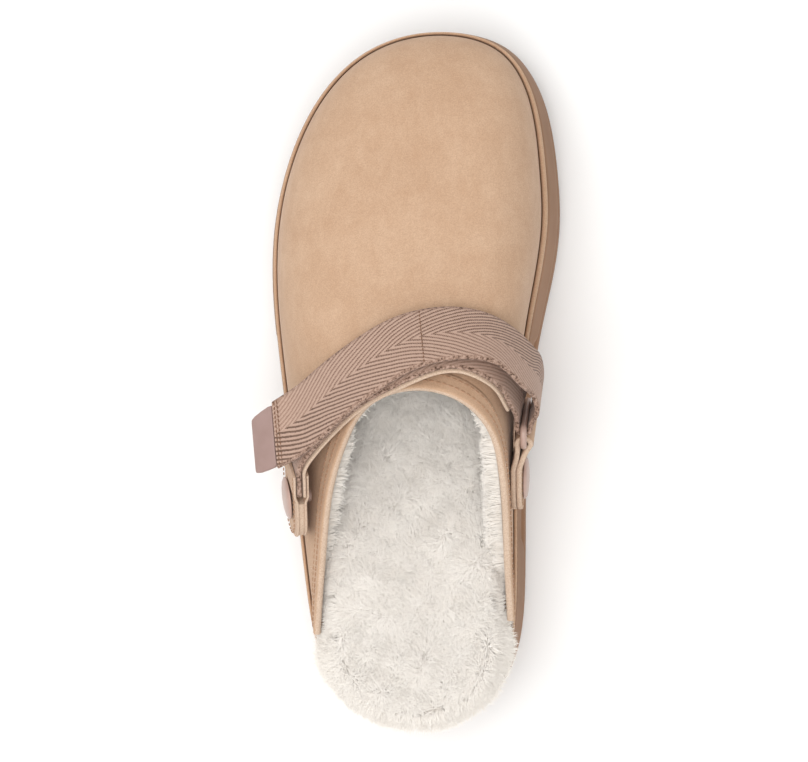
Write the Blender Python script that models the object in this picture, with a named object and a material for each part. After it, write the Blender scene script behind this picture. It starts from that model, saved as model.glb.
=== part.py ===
"""Clog slipper, left foot, with a forward strap, as an assembly of separate closed pieces.

Frame: metres, +Z up, +Y towards the toe, +X towards the inner (medial) side of the foot.
The origin is on the ground under the middle of the heel seat.
"""

import math

import bmesh
import bpy
import numpy as np
from mathutils import Vector
from mathutils.bvhtree import BVHTree

# Driving sizes of the shoe.
LENGTH = 0.2700
BALL_WIDTH = 0.114
HEEL_HEIGHT = 0.0465
INSTEP_HEIGHT = 0.1060
HEEL_SEAT = 0.045
TOE_SPRING = 0.013
ARCH_RISE = 0.006
HEEL_BEVEL = 0.004
SIDE_FLARE = 0.0070

# Gaps: what touches on the real shoe is this far apart.
CLEARANCE = 0.0003
SKIN_GAP = 0.0004

# Sole.
WELT_WIDTH = 0.0021
WELT_HEIGHT = 0.0026
FOOTBED_DROP = 0.0015
GROOVE_WIDTH = 0.0036
GROOVE_DEPTH = 0.0030
GROOVE_BOW = 0.0080
SHELF_WIDTH = 0.0020
BED_STEP_WIDTH = 0.0020
LUG_PITCH = 0.0150
ARCH_PANEL_DEPTH = 0.0012

# Upper.
UPPER_WALL = 0.0022
EDGE_FOLD_WIDTH = 0.0070
EDGE_FOLD_STEP = 0.0007

# Insole with its pile.
PILE_HEIGHT = 0.0125
PILE_SPILL = 0.0012
LOCK_SIZE = 0.0150
LOCK_RELIEF = 0.0010
INSOLE_GAP = 0.0006
CUSHION_INSET = 0.0050
CUSHION_SHELF_INSET = 0.0024
CUSHION_SIDE_INSET = 0.0008

# Strap, ring, tip and rivets.
WEBBING_WIDTH = 0.0250
WEBBING_THICKNESS = 0.0018
BACKING_WIDTH = 0.0262
BACKING_THICKNESS = 0.0011
TAB_WIDTH = 0.0240
TAB_LAYER = 0.0021
TAB_LENGTH = 0.0190
OUTER_TAB_THICKNESS = 0.0058
RING_WIRE = 0.0024
RING_SPAN = 0.0264
RING_REACH = 0.0048
RING_CORNER = 0.0026
RING_DISTANCE = 0.0190
TIP_LENGTH = 0.0105
TIP_THICKNESS = 0.0026
TIP_WIDTH = 0.0228
RIVET_CAP = 0.0160
RIVET_CAP_HEIGHT = 0.0018
RIVET_SHANK = 0.0050
RIVET_BACK = 0.0110
RIVET_BACK_HEIGHT = 0.0009

# Points round the sole, half of them on each side.
SIDE_POINTS = 38
INSOLE_POINTS = 32
UPPER_POINTS = 54

# The sole seen from above, from the heel round the outer side to the toe and back.
# Columns: share of length, share of ball width, share of the side flare.
OUTLINE = (
    (0.000, 0.010, 0.49),
    (0.012, -0.137, 0.50),
    (0.055, -0.276, 0.53),
    (0.122, -0.348, 0.56),
    (0.205, -0.384, 0.59),
    (0.361, -0.431, 0.66),
    (0.503, -0.475, 0.69),
    (0.623, -0.505, 0.71),
    (0.719, -0.500, 0.71),
    (0.802, -0.460, 0.70),
    (0.857, -0.411, 0.70),
    (0.923, -0.313, 0.67),
    (0.966, -0.198, 0.60),
    (1.000, 0.100, 0.52),
    (0.970, 0.340, 0.72),
    (0.931, 0.412, 0.82),
    (0.872, 0.461, 0.92),
    (0.800, 0.486, 1.00),
    (0.726, 0.493, 1.00),
    (0.665, 0.477, 0.98),
    (0.575, 0.432, 0.86),
    (0.465, 0.392, 0.70),
    (0.340, 0.376, 0.62),
    (0.200, 0.373, 0.58),
    (0.117, 0.356, 0.57),
    (0.065, 0.314, 0.55),
    (0.018, 0.200, 0.52),
)
TOE_ROW = 13

# The sole's top edge. Columns: share of length, share of heel height.
SOLE_TOP = (
    (0.00, 1.010),
    (0.16, 1.000),
    (0.34, 0.965),
    (0.54, 0.870),
    (0.74, 0.820),
    (0.88, 0.855),
    (1.00, 0.960),
)

# The sole's side, from the ground up. Columns: share of the wall's height, share of the flare.
SIDE_STEPS = (
    (0.000, 0.42),
    (0.055, 0.14),
    (0.180, 0.00),
    (0.400, 0.07),
    (0.425, 0.22),
    (0.465, 0.22),
    (0.490, 0.10),
    (0.820, 0.42),
    (0.960, 0.56),
    (1.000, 0.66),
)

# Where the sole's underside lies flat, and its waist. All are shares of length.
HEEL_FLAT_FROM = 0.055
ARCH_FROM = 0.315
ARCH_TO = 0.555
FOREFOOT_FLAT_TO = 0.790
TREAD_TO = 0.930

# The waist panel sunk into both sides of the sole.
PANEL_FROM = 0.255
PANEL_TO = 0.560
PANEL_LOW = 0.40
PANEL_HIGH = 0.96

# The collar, from the outer rear end over the throat to the inner rear end.
# Columns: share of ball width, share of length, share of instep height.
COLLAR = (
    (-0.322, 0.140, 0.530),
    (-0.312, 0.185, 0.575),
    (-0.292, 0.256, 0.655),
    (-0.258, 0.345, 0.775),
    (-0.200, 0.415, 0.885),
    (-0.125, 0.463, 0.955),
    (-0.025, 0.484, 0.990),
    (0.078, 0.487, 1.000),
    (0.205, 0.467, 0.985),
    (0.280, 0.432, 0.940),
    (0.315, 0.378, 0.865),
    (0.326, 0.316, 0.760),
    (0.330, 0.250, 0.660),
    (0.334, 0.200, 0.580),
    (0.338, 0.160, 0.530),
)
THROAT_ROW = 7

# How the upper rises from the welt to the collar. Columns: share of the way from the rear end to
# the toe, share of height that the wall stands before it turns, share of the plan distance that
# the top runs back flat, and the top's slope in degrees, on the outer and on the inner side.
RISE = (
    (0.00, 0.34, 0.30, 70.0, 80.0),
    (0.20, 0.36, 0.34, 58.0, 76.0),
    (0.40, 0.54, 0.40, 38.0, 54.0),
    (0.60, 0.62, 0.42, 29.0, 33.0),
    (0.80, 0.62, 0.42, 28.0, 29.0),
    (1.00, 0.61, 0.42, 28.0, 28.0),
)
UPPER_REAR_OUTER = 0.104
UPPER_REAR_INNER = 0.888

# Rivets: share of length, height of the back's lower edge over the pile's mean top, how far the
# tab rises towards the strap in degrees, how upright it hangs (1 lies on the upper, 0 is
# vertical), its gap to the upper and how far the round end's centre lies behind the rivet.
RIVET_OUTER = (0.336, 0.0008, 38.0, 0.55, 0.0021, 0.0040)
RIVET_INNER = (0.361, -0.0005, 24.0, 1.00, 0.0004, 0.0)

# The inner tab is bent away from the upper from here on, by this slope.
TAB_BEND_FROM = 0.0084
TAB_BEND_SLOPE = 0.28

# The strap's lower run, from the outer tab over the instep towards the ring.
# Columns: rear edge, then front edge, each as shares of ball width, length, instep height.
STRAP_UNDER = (
    (-0.309, 0.397, 0.860, -0.382, 0.448, 0.697),
    (-0.211, 0.436, 0.948, -0.311, 0.494, 0.802),
    (-0.130, 0.463, 1.006, -0.232, 0.528, 0.884),
    (-0.025, 0.487, 1.052, -0.105, 0.557, 0.930),
    (0.054, 0.502, 1.070, 0.004, 0.574, 0.933),
    (0.124, 0.511, 1.066, 0.105, 0.585, 0.925),
    (0.199, 0.511, 1.057, 0.219, 0.582, 0.911),
    (0.256, 0.501, 1.040, 0.303, 0.567, 0.884),
    (0.309, 0.483, 0.976, 0.360, 0.541, 0.802),
    (0.333, 0.464, 0.915, 0.380, 0.515, 0.722),
    (0.354, 0.444, 0.840, 0.384, 0.487, 0.630),
)

# The strap's upper run, from the ring back over the lower run to the free end.
STRAP_OVER = (
    (0.420, 0.450, 0.849, 0.432, 0.494, 0.646),
    (0.406, 0.476, 0.915, 0.428, 0.528, 0.726),
    (0.379, 0.487, 0.981, 0.410, 0.539, 0.797),
    (0.340, 0.506, 1.030, 0.374, 0.554, 0.850),
    (0.294, 0.521, 1.060, 0.325, 0.570, 0.885),
    (0.150, 0.523, 1.090, 0.167, 0.594, 0.939),
    (0.022, 0.506, 1.090, -0.031, 0.581, 0.953),
    (-0.079, 0.481, 1.062, -0.149, 0.552, 0.935),
    (-0.175, 0.455, 1.006, -0.268, 0.513, 0.884),
    (-0.267, 0.421, 0.932, -0.342, 0.487, 0.832),
    (-0.338, 0.400, 0.870, -0.382, 0.474, 0.812),
    (-0.416, 0.381, 0.806, -0.434, 0.462, 0.792),
)


def along(share):
    """A share of the length, from the heel, as a place on the Y axis."""
    return share * LENGTH - HEEL_SEAT


def column(table, index):
    return np.array([row[index] for row in table], float)


def spline(knots, values, closed=False):
    """A curve with even curvature through values at knots, as a function of the knot."""
    knots, values = np.asarray(knots, float), np.asarray(values, float)
    if values.ndim == 1:
        values = values[:, None]
    n, step = len(knots), np.diff(knots)
    slope = np.diff(values, axis=0) / step[:, None]
    count = n - 1 if closed else n
    system, target = np.zeros((count, count)), np.zeros((count, values.shape[1]))
    for i in range(count):
        if not closed and i in (0, n - 1):
            system[i, i] = 1.0
            continue
        before, after = (i - 1) % (n - 1), i
        system[i, (i - 1) % count] += step[before]
        system[i, i] += 2 * (step[before] + step[after])
        system[i, (i + 1) % count] += step[after]
        target[i] = 6 * (slope[after] - slope[before])
    bend = np.linalg.solve(system, target)
    if closed:
        bend = np.vstack([bend, bend[:1]])

    def at(where):
        where = np.atleast_1d(np.asarray(where, float))
        i = np.clip(np.searchsorted(knots, where, side="right") - 1, 0, n - 2)
        h, t = step[i][:, None], (where - knots[i])[:, None]
        rest = h - t
        return (
            bend[i] * rest**3 / (6 * h)
            + bend[i + 1] * t**3 / (6 * h)
            + (values[i] / h - bend[i] * h / 6) * rest
            + (values[i + 1] / h - bend[i + 1] * h / 6) * t
        )

    return at


def chord_knots(points):
    """Knots spaced as the points are."""
    gaps = np.linalg.norm(np.diff(points, axis=0), axis=1)
    return np.concatenate([[0.0], np.cumsum(gaps)])


def even_by_length(points, count, axes=3):
    """The polyline resampled to count + 1 points, evenly along its first axes."""
    run = chord_knots(points[:, :axes])
    wanted = np.linspace(0, run[-1], count + 1)
    return np.stack([np.interp(wanted, run, points[:, k]) for k in range(points.shape[1])], 1)


def make_outline():
    """Each half of the sole's edge, heel to toe, as dense rows of x, y and flare."""
    rows = np.array([(w * BALL_WIDTH, along(l), f) for l, w, f in OUTLINE])
    closed = np.vstack([rows, rows[:1]])
    knots = chord_knots(closed[:, :2])
    curve = spline(knots, closed, closed=True)
    dense = 600
    outer = curve(np.linspace(0, knots[TOE_ROW], dense))
    inner = curve(np.linspace(knots[TOE_ROW], knots[-1], dense))
    return even_by_length(outer, dense, axes=2), even_by_length(inner, dense, axes=2)


OUTER_EDGE, INNER_EDGE = make_outline()
WHOLE_EDGE = np.vstack([OUTER_EDGE[:-1], INNER_EDGE[:-1]])


def inward_normals():
    ahead, behind = np.roll(WHOLE_EDGE[:, :2], -1, axis=0), np.roll(WHOLE_EDGE[:, :2], 1, axis=0)
    way = ahead - behind
    way /= np.linalg.norm(way, axis=1)[:, None]
    return np.stack([way[:, 1], -way[:, 0]], 1)


EDGE_NORMALS = inward_normals()


def edge_at(round_share, flare_share, extra=0.0):
    """x, y of the sole's edge set in by a share of the side flare and an extra distance.

    round_share runs from 0 at the heel over the outer side to 0.5 at the toe and 1 at the heel.
    """
    count = len(WHOLE_EDGE)
    place = (np.atleast_1d(round_share) % 1.0) * count
    low = np.floor(place).astype(int) % count
    part = (place - np.floor(place))[:, None]
    rows = WHOLE_EDGE[low] * (1 - part) + WHOLE_EDGE[(low + 1) % count] * part
    normal = EDGE_NORMALS[low] * (1 - part) + EDGE_NORMALS[(low + 1) % count] * part
    inset = flare_share * rows[:, 2:3] * SIDE_FLARE + extra
    return rows[:, :2] + normal * inset


def ring_shares(count=SIDE_POINTS):
    return np.arange(2 * count) / (2 * count)


SOLE_TOP_AT = spline(column(SOLE_TOP, 0), column(SOLE_TOP, 1))


def sole_top(y):
    share = np.clip((np.asarray(y, float) + HEEL_SEAT) / LENGTH, 0, 1)
    return SOLE_TOP_AT(share)[:, 0] * HEEL_HEIGHT


def sole_tread(y):
    """Height of the underside: bevelled heel, raised waist and toe spring, flat between."""
    share = np.clip((np.asarray(y, float) + HEEL_SEAT) / LENGTH, 0, 1)
    heel = np.clip((HEEL_FLAT_FROM - share) / HEEL_FLAT_FROM, 0, 1) ** 2 * HEEL_BEVEL
    waist = np.clip((share - ARCH_FROM) / (ARCH_TO - ARCH_FROM), 0, 1)
    arch = np.sin(math.pi * waist) ** 2 * ARCH_RISE
    toe = np.clip((share - FOREFOOT_FLAT_TO) / (1 - FOREFOOT_FLAT_TO), 0, 1) ** 2 * TOE_SPRING
    return heel + arch + toe


def lifted(plan, z):
    return np.column_stack([plan, z])


def new_object(name, verts, faces, material, smooth_angle=35.0):
    mesh = bpy.data.meshes.new(name)
    mesh.from_pydata([tuple(map(float, v)) for v in verts], [], faces)
    work = bmesh.new()
    work.from_mesh(mesh)
    bmesh.ops.recalc_face_normals(work, faces=work.faces)
    work.to_mesh(mesh)
    work.free()
    mesh.shade_smooth()
    mesh.set_sharp_from_angle(angle=math.radians(smooth_angle))
    obj = bpy.data.objects.new(name, mesh)
    bpy.context.scene.collection.objects.link(obj)
    if material:
        mesh.materials.append(material)
    return obj


def finish(name, colour, roughness, metallic=0.0):
    material = bpy.data.materials.new(name)
    material.use_nodes = True
    shader = material.node_tree.nodes["Principled BSDF"]
    shader.inputs["Base Color"].default_value = (*colour, 1.0)
    shader.inputs["Roughness"].default_value = roughness
    shader.inputs["Metallic"].default_value = metallic
    return material


def cap_faces(verts, ring_start, half, across, height_at, faces):
    """Closes a ring over its whole width with rows of quads from side to side.

    height_at takes x, y and the share of the way from one side to the other.
    """
    ring = [np.array(v) for v in verts[ring_start : ring_start + 2 * half]]
    lines = []
    for k in range(1, half):
        left, right = ring_start + k, ring_start + (2 * half - k)
        line = [left]
        for step in range(1, across):
            point = ring[k] + (ring[2 * half - k] - ring[k]) * step / across
            point[2] = height_at(point[0], point[1], step / across)
            verts.append(point)
            line.append(len(verts) - 1)
        lines.append(line + [right])
    for a, b in zip(lines[:-1], lines[1:]):
        faces += [(a[i], a[i + 1], b[i + 1], b[i]) for i in range(across)]
    for apex, line in ((ring_start, lines[0]), (ring_start + half, lines[-1])):
        faces += [(apex, line[i], line[i + 1]) for i in range(across)]


def stacked_solid(name, rings, across, low_height, high_height, material):
    """A closed solid from rings of equal count, bottom to top, with both ends capped."""
    half = len(rings[0]) // 2
    verts, faces = [], []
    for ring in rings:
        verts += [np.array(p) for p in ring]
    for level in range(len(rings) - 1):
        a, b = level * 2 * half, (level + 1) * 2 * half
        for i in range(2 * half):
            j = (i + 1) % (2 * half)
            faces.append((a + i, a + j, b + j, b + i))
    top_start = (len(rings) - 1) * 2 * half
    cap_faces(verts, 0, half, across, low_height, faces)
    cap_faces(verts, top_start, half, across, high_height, faces)
    return new_object(name, verts, faces, material)


def panel_sink(y, level):
    """How far the waist panel is sunk into the side of the sole at this place."""
    share = (y + HEEL_SEAT) / LENGTH
    inside = (share > PANEL_FROM) & (share < PANEL_TO)
    return np.where(inside & (level > PANEL_LOW) & (level < PANEL_HIGH), ARCH_PANEL_DEPTH, 0.0)


def make_sole(material):
    """Moulded platform: flared side with a groove, sunk waist panels, flat top inside the welt."""
    shares = ring_shares()
    rings = []
    for level, flare in SIDE_STEPS:
        plan = edge_at(shares, flare)
        sink = panel_sink(plan[:, 1], level)[:, None]
        plan = edge_at(shares, flare, sink)
        low, high = sole_tread(plan[:, 1]), sole_top(plan[:, 1])
        rings.append(lifted(plan, low + (high - low) * level))
    shelf = edge_at(shares, 1.0, UPPER_WALL + SHELF_WIDTH)
    rings.append(lifted(shelf, sole_top(shelf[:, 1])))
    bed = edge_at(shares, 1.0, UPPER_WALL + SHELF_WIDTH + BED_STEP_WIDTH)
    rings.append(lifted(bed, sole_top(bed[:, 1]) - FOOTBED_DROP))
    sole = stacked_solid(
        "sole",
        rings,
        4,
        lambda x, y, part: float(sole_tread([y])[0]),
        lambda x, y, part: float(sole_top([y])[0]) - FOOTBED_DROP,
        material,
    )
    cut_away(sole, make_groove_cutter())
    return sole


def groove_centres():
    """Places on the Y axis of the tread's grooves, with a lug's middle at the origin."""
    last = int(along(TREAD_TO) / LUG_PITCH)
    places = [LUG_PITCH * (k + 0.5) for k in range(-2, last)]
    waist = (along(ARCH_FROM) - LUG_PITCH / 2, along(ARCH_TO) + LUG_PITCH / 2)
    return [y for y in places if y < waist[0] or y > waist[1]]


def make_groove_cutter():
    """Bowed bars that cut the grooves between the lugs."""
    verts, faces = [], []
    steps, below = 8, -HEEL_HEIGHT / 4
    for centre in groove_centres():
        start = len(verts)
        for k in range(steps + 1):
            x = (k / steps - 0.5) * 1.2 * BALL_WIDTH
            y = centre - GROOVE_BOW * (2 * k / steps - 1) ** 2
            floor = float(sole_tread([y])[0]) + GROOVE_DEPTH
            for dy, z in ((-1, below), (1, below), (0.8, floor), (-0.8, floor)):
                verts.append((x, y + dy * GROOVE_WIDTH / 2, z))
        for k in range(steps):
            a, b = start + 4 * k, start + 4 * (k + 1)
            faces += [(a + i, a + (i + 1) % 4, b + (i + 1) % 4, b + i) for i in range(4)]
        faces += [tuple(start + i for i in (3, 2, 1, 0)), tuple(start + 4 * steps + i for i in range(4))]
    return new_object("groove_cutter", verts, faces, None)


def cut_away(target, cutter):
    """Cuts the cutter out of the target and removes the cutter."""
    modifier = target.modifiers.new("cut", "BOOLEAN")
    modifier.operation = "DIFFERENCE"
    modifier.object = cutter
    modifier.solver = "EXACT"
    bpy.context.view_layer.update()
    graph = bpy.context.evaluated_depsgraph_get()
    mesh = bpy.data.meshes.new_from_object(target.evaluated_get(graph))
    target.modifiers.clear()
    target.data = mesh
    bpy.data.objects.remove(cutter)


def make_welt(material):
    """Narrow rounded strip that covers the seam, right round the shoe."""
    shares = ring_shares()
    outer = 1.0 - (WELT_WIDTH + CLEARANCE) / SIDE_FLARE
    inner = 1.0 - CLEARANCE / SIDE_FLARE
    profile = ((0.0, 0.0), (0.0, 0.6), (0.3, 1.0), (0.75, 1.0), (1.0, 0.75), (1.0, 0.0))
    verts, faces = [], []
    for i, share in enumerate(shares):
        for part, rise in profile:
            plan = edge_at(share, outer + (inner - outer) * part)[0]
            z = float(sole_top([plan[1]])[0]) + CLEARANCE + rise * WELT_HEIGHT
            verts.append((plan[0], plan[1], z))
    size = len(profile)
    for i in range(len(shares)):
        a, b = i * size, ((i + 1) % len(shares)) * size
        faces += [(a + k, a + (k + 1) % size, b + (k + 1) % size, b + k) for k in range(size)]
    return new_object("welt", verts, faces, material)


def collar_halves(count=400):
    """Dense points of the collar, outer and inner half, both from the rear end to the throat."""
    rows = np.array([(w * BALL_WIDTH, along(l), h * INSTEP_HEIGHT) for w, l, h in COLLAR])
    knots = chord_knots(rows)
    curve = spline(knots, rows)
    outer = curve(np.linspace(0, knots[THROAT_ROW], count))
    inner = curve(np.linspace(knots[-1], knots[THROAT_ROW], count))
    return even_by_length(outer, count), even_by_length(inner, count)


COLLAR_OUTER, COLLAR_INNER = collar_halves()


def collar_point(forward, inner_side):
    """Collar point for a share of the way from the rear end to the toe along the welt."""
    eased = 0.86 * (1 - (1 - forward) ** 2.4) + 0.14 * forward
    half = COLLAR_INNER if inner_side else COLLAR_OUTER
    place = eased * (len(half) - 1)
    low = min(int(place), len(half) - 2)
    return half[low] * (1 - (place - low)) + half[low + 1] * (place - low)


RISE_AT = spline(column(RISE, 0), np.array([row[1:] for row in RISE]))


def upper_curve(round_share, samples=48):
    """One line of the upper's outside, from the welt up to the collar, evenly spaced."""
    inner_side = round_share > 0.5
    rear = UPPER_REAR_INNER if inner_side else UPPER_REAR_OUTER
    forward = (round_share - rear) / (0.5 - rear)
    forward = min(max(forward, 0.0), 1.0)
    stand, run, outer_slope, inner_slope = RISE_AT(forward)[0]
    mix = min(max((round_share - 0.46) / 0.08, 0.0), 1.0)
    slope = math.radians(outer_slope + (inner_slope - outer_slope) * mix)
    foot = edge_at(round_share, 1.0)[0]
    foot = np.array([foot[0], foot[1], float(sole_top([foot[1]])[0]) + CLEARANCE])
    top = collar_point(forward, inner_side)
    flat = foot[:2] - top[:2]
    reach = np.linalg.norm(flat)
    flat = flat / max(reach, 1e-9)
    up = np.array([0.0, 0.0, 1.0])
    height = top[2] - foot[2]
    lean = np.array([-flat[0], -flat[1], 0.0]) * 0.06
    first = foot + (up + lean) * height * stand
    away = np.array([*(flat * math.cos(slope)), -math.sin(slope)])
    second = top + away * max(reach * run, height * 0.3 * math.sin(slope))
    t = np.linspace(0, 1, samples)[:, None]
    curve = (
        (1 - t) ** 3 * foot + 3 * (1 - t) ** 2 * t * first + 3 * (1 - t) * t**2 * second + t**3 * top
    )
    return even_by_length(curve, samples)


def row_places(total):
    """Distances along an upper line of its rows, with the folded edge at the collar."""
    fold = min(EDGE_FOLD_WIDTH, 0.55 * total)
    body = total - fold
    rows = [body * s for s in (0.0, 0.06, 0.14, 0.24, 0.35, 0.47, 0.60, 0.74, 0.88, 0.995)]
    return rows + [body + 0.02 * fold, body + 0.5 * fold, total]


def upper_grid(points=UPPER_POINTS):
    """Rows of outside points of the upper, and which of them lie on the folded edge."""
    shares = np.linspace(UPPER_REAR_OUTER, UPPER_REAR_INNER, points + 1)
    grid = []
    for share in shares:
        curve = upper_curve(share)
        run = chord_knots(curve)
        places = row_places(run[-1])
        grid.append(np.stack([np.interp(places, run, curve[:, k]) for k in range(3)], 1))
    return np.array(grid)


def grid_normals(grid):
    """Outward normals of a grid of surface points."""
    side = np.gradient(grid, axis=0)
    rise = np.gradient(grid, axis=1)
    normal = np.cross(rise, side)
    normal /= np.linalg.norm(normal, axis=2)[:, :, None]
    return normal


def make_upper(material):
    """One hollow wall from the welt to the collar, with the folded edge as a step."""
    grid = upper_grid()
    normal = grid_normals(grid)
    rows = grid.shape[1]
    raised = np.zeros(rows)
    raised[-3:] = EDGE_FOLD_STEP
    outside = grid + normal * raised[None, :, None]
    inside = grid - normal * UPPER_WALL
    inside[:, 0, 2] = grid[:, 0, 2]
    count = grid.shape[0]
    verts = np.vstack([outside.reshape(-1, 3), inside.reshape(-1, 3)])
    faces, shift = [], count * rows
    for i in range(count - 1):
        for j in range(rows - 1):
            a, b = i * rows + j, (i + 1) * rows + j
            faces.append((a, b, b + 1, a + 1))
            faces.append((shift + a, shift + a + 1, shift + b + 1, shift + b))
        for j in (0, rows - 1):
            a, b = i * rows + j, (i + 1) * rows + j
            faces.append((a, b, shift + b, shift + a) if j else (a, shift + a, shift + b, b))
    for i in (0, count - 1):
        for j in range(rows - 1):
            a = i * rows + j
            faces.append((a, a + 1, shift + a + 1, shift + a))
    return new_object("upper", verts, faces, material)


def inside_of_upper(round_share, height, gap):
    """Plan point on the upper's inside, less a gap, at a height above the sole's top edge."""
    curve = upper_curve(round_share)
    rise = curve[:, 2] - curve[0, 2] + CLEARANCE
    steps = np.maximum(np.diff(curve[:, 2]), 1e-6) / np.linalg.norm(np.diff(curve, axis=0), axis=1)
    here = min(int(np.searchsorted(rise, height)), len(steps) - 1)
    plan = np.array([np.interp(height, rise[: here + 2], curve[: here + 2, k]) for k in range(2)])
    normal = EDGE_NORMALS[int(round_share * len(EDGE_NORMALS)) % len(EDGE_NORMALS)]
    return plan + normal * (UPPER_WALL + gap) / max(steps[here], 0.45)


def insole_point(round_share, height, inset, spill):
    """Plan point of the insole's side: inside the upper, or spilling over the welt at the heel."""
    heel = edge_at(round_share, 1.0, INSOLE_GAP + inset - spill)[0]
    ends = (UPPER_REAR_OUTER - 0.006, UPPER_REAR_INNER + 0.006)
    if round_share < ends[0] - 0.02 or round_share > ends[1] + 0.02:
        return heel
    clamped = min(max(round_share, UPPER_REAR_OUTER), UPPER_REAR_INNER)
    inside = inside_of_upper(clamped, height, INSOLE_GAP)
    normal = EDGE_NORMALS[int(round_share * len(EDGE_NORMALS)) % len(EDGE_NORMALS)]
    inside = inside + normal * inset
    if clamped != round_share:
        shift = inside - edge_at(clamped, 1.0)[0]
        inside = edge_at(round_share, 1.0)[0] + shift
    reach = max(ends[0] - round_share, round_share - ends[1], 0.0) / 0.02
    return inside + (heel - inside) * min(reach, 1.0)


def lock_relief(x, y):
    """Height of the pile's locks over its mean, between about -1 and 1."""
    turn = 2 * math.pi / LOCK_SIZE
    first = math.sin(turn * (0.93 * x + 0.31 * y)) * math.sin(turn * (0.84 * y - 0.36 * x) + 0.7)
    second = math.sin(turn * (0.48 * x - 0.71 * y) + 1.9)
    return 0.7 * first + 0.3 * second


def make_insole(material):
    """Footbed cushion with its pile: one soft solid with locks, full width at the open heel."""
    shares = ring_shares(INSOLE_POINTS)
    base = edge_at(shares, 1.0, UPPER_WALL + CUSHION_INSET)
    rings = [lifted(base, sole_top(base[:, 1]) - FOOTBED_DROP + CLEARANCE)]
    shelf = edge_at(shares, 1.0, UPPER_WALL + CUSHION_SHELF_INSET)
    rings.append(lifted(shelf, sole_top(shelf[:, 1]) + SKIN_GAP))
    levels = (
        (SKIN_GAP + CLEARANCE / 3, CUSHION_SIDE_INSET, 0.0),
        (WELT_HEIGHT + CUSHION_SIDE_INSET, 0.0, 0.0),
        (0.50 * PILE_HEIGHT, 0.024 * PILE_HEIGHT, PILE_SPILL),
        (0.80 * PILE_HEIGHT, 0.144 * PILE_HEIGHT, PILE_SPILL),
        (0.95 * PILE_HEIGHT, 0.400 * PILE_HEIGHT, PILE_SPILL),
    )
    for height, inset, spill in levels:
        plan = np.array([insole_point(share, height, inset, spill) for share in shares])
        rings.append(lifted(plan, sole_top(plan[:, 1]) + height))
    return stacked_solid(
        "insole",
        rings,
        12,
        lambda x, y, part: float(sole_top([y])[0]) - FOOTBED_DROP + CLEARANCE,
        lambda x, y, part: float(sole_top([y])[0]) + PILE_HEIGHT + LOCK_RELIEF * lock_relief(x, y),
        material,
    )


def unit(vector):
    vector = np.asarray(vector, float)
    return vector / np.linalg.norm(vector)


def surface_tree(obj):
    mesh = obj.data
    points = [vertex.co.copy() for vertex in mesh.vertices]
    return BVHTree.FromPolygons(points, [tuple(face.vertices) for face in mesh.polygons])


def tab_frame(tree, rivet, side):
    """Where a tab sits: its point, the ways out, along the run and over its width, and its lean.

    side is -1 on the outer side of the foot and 1 on the inner side.
    """
    length_share, over_pile, climb, upright, gap, tail = rivet
    place = along(length_share)
    height = float(sole_top([place])[0]) + PILE_HEIGHT + over_pile + RIVET_BACK / 2
    start = Vector((side * BALL_WIDTH, place, height))
    point, normal, _, _ = tree.ray_cast(start, Vector((-side, 0, 0)))
    square = unit(np.array(normal) * (side * np.sign(normal[0])))
    out = unit(square * (1.0, 1.0, upright))
    lean = math.sqrt(max(1 - float(out @ square) ** 2, 0.0))
    level = unit(np.cross((0, 0, side), out))
    up = unit(np.cross(out, level) * side)
    if up[2] < 0:
        up = -up
    turn = math.radians(climb)
    run = unit(level * math.cos(turn) + up * math.sin(turn))
    over = unit(-level * math.sin(turn) + up * math.cos(turn))
    return np.array(point) + out * gap, out, run, over, lean


def placed(frame, along_run, outward, over):
    point, out, run, width = frame[:4]
    return point + run * along_run + out * outward + width * over


def bend_at(along_run):
    return TAB_BEND_SLOPE * max(along_run - TAB_BEND_FROM, 0.0)


def make_tab(name, frame, length, tail, thickness, loop_radius, material):
    """A tab with a round end about its rivet and either a straight or a looped far end."""
    half = TAB_WIDTH / 2
    columns = 10
    verts, faces = [], []
    middle = thickness / 2
    for k in range(columns + 1):
        over = -half * math.cos(math.pi * k / columns)
        start = -tail - math.sqrt(max(half**2 - over**2, 0.0)) * 0.999
        profile = [(start, 0.0), (start, thickness)]
        if loop_radius:
            bent = bend_at(length)
            profile += [(TAB_BEND_FROM, thickness)]
            for step in range(7):
                turn = math.radians(110 - 220 * step / 6)
                reach, rise = loop_radius * math.cos(turn), loop_radius * math.sin(turn)
                profile.append((length + reach, middle + bent + rise))
            profile += [(TAB_BEND_FROM, 0.0)]
        else:
            profile += [(length, thickness), (length, 0.0)]
        verts += [placed(frame, s, out, over) for s, out in profile]
    size = len(verts) // (columns + 1)
    for k in range(columns):
        a, b = k * size, (k + 1) * size
        faces += [(a + i, a + (i + 1) % size, b + (i + 1) % size, b + i) for i in range(size)]
    faces += [tuple(range(size)), tuple(range(columns * size, (columns + 1) * size))[::-1]]
    return new_object(name, verts, faces, material)


def cylinder(name, start, end, radius, segments, material=None):
    """A closed cylinder between two points."""
    axis = unit(end - start)
    side = unit(np.cross(axis, (0, 0, 1) if abs(axis[2]) < 0.9 else (0, 1, 0)))
    other = np.cross(axis, side)
    turns = [2 * math.pi * k / segments for k in range(segments)]
    verts = [
        centre + radius * (math.cos(t) * side + math.sin(t) * other)
        for centre in (start, end)
        for t in turns
    ]
    faces = [
        (i, (i + 1) % segments, segments + (i + 1) % segments, segments + i)
        for i in range(segments)
    ]
    faces += [tuple(range(segments)), tuple(range(segments, 2 * segments))]
    return new_object(name, verts, faces, material)


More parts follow.
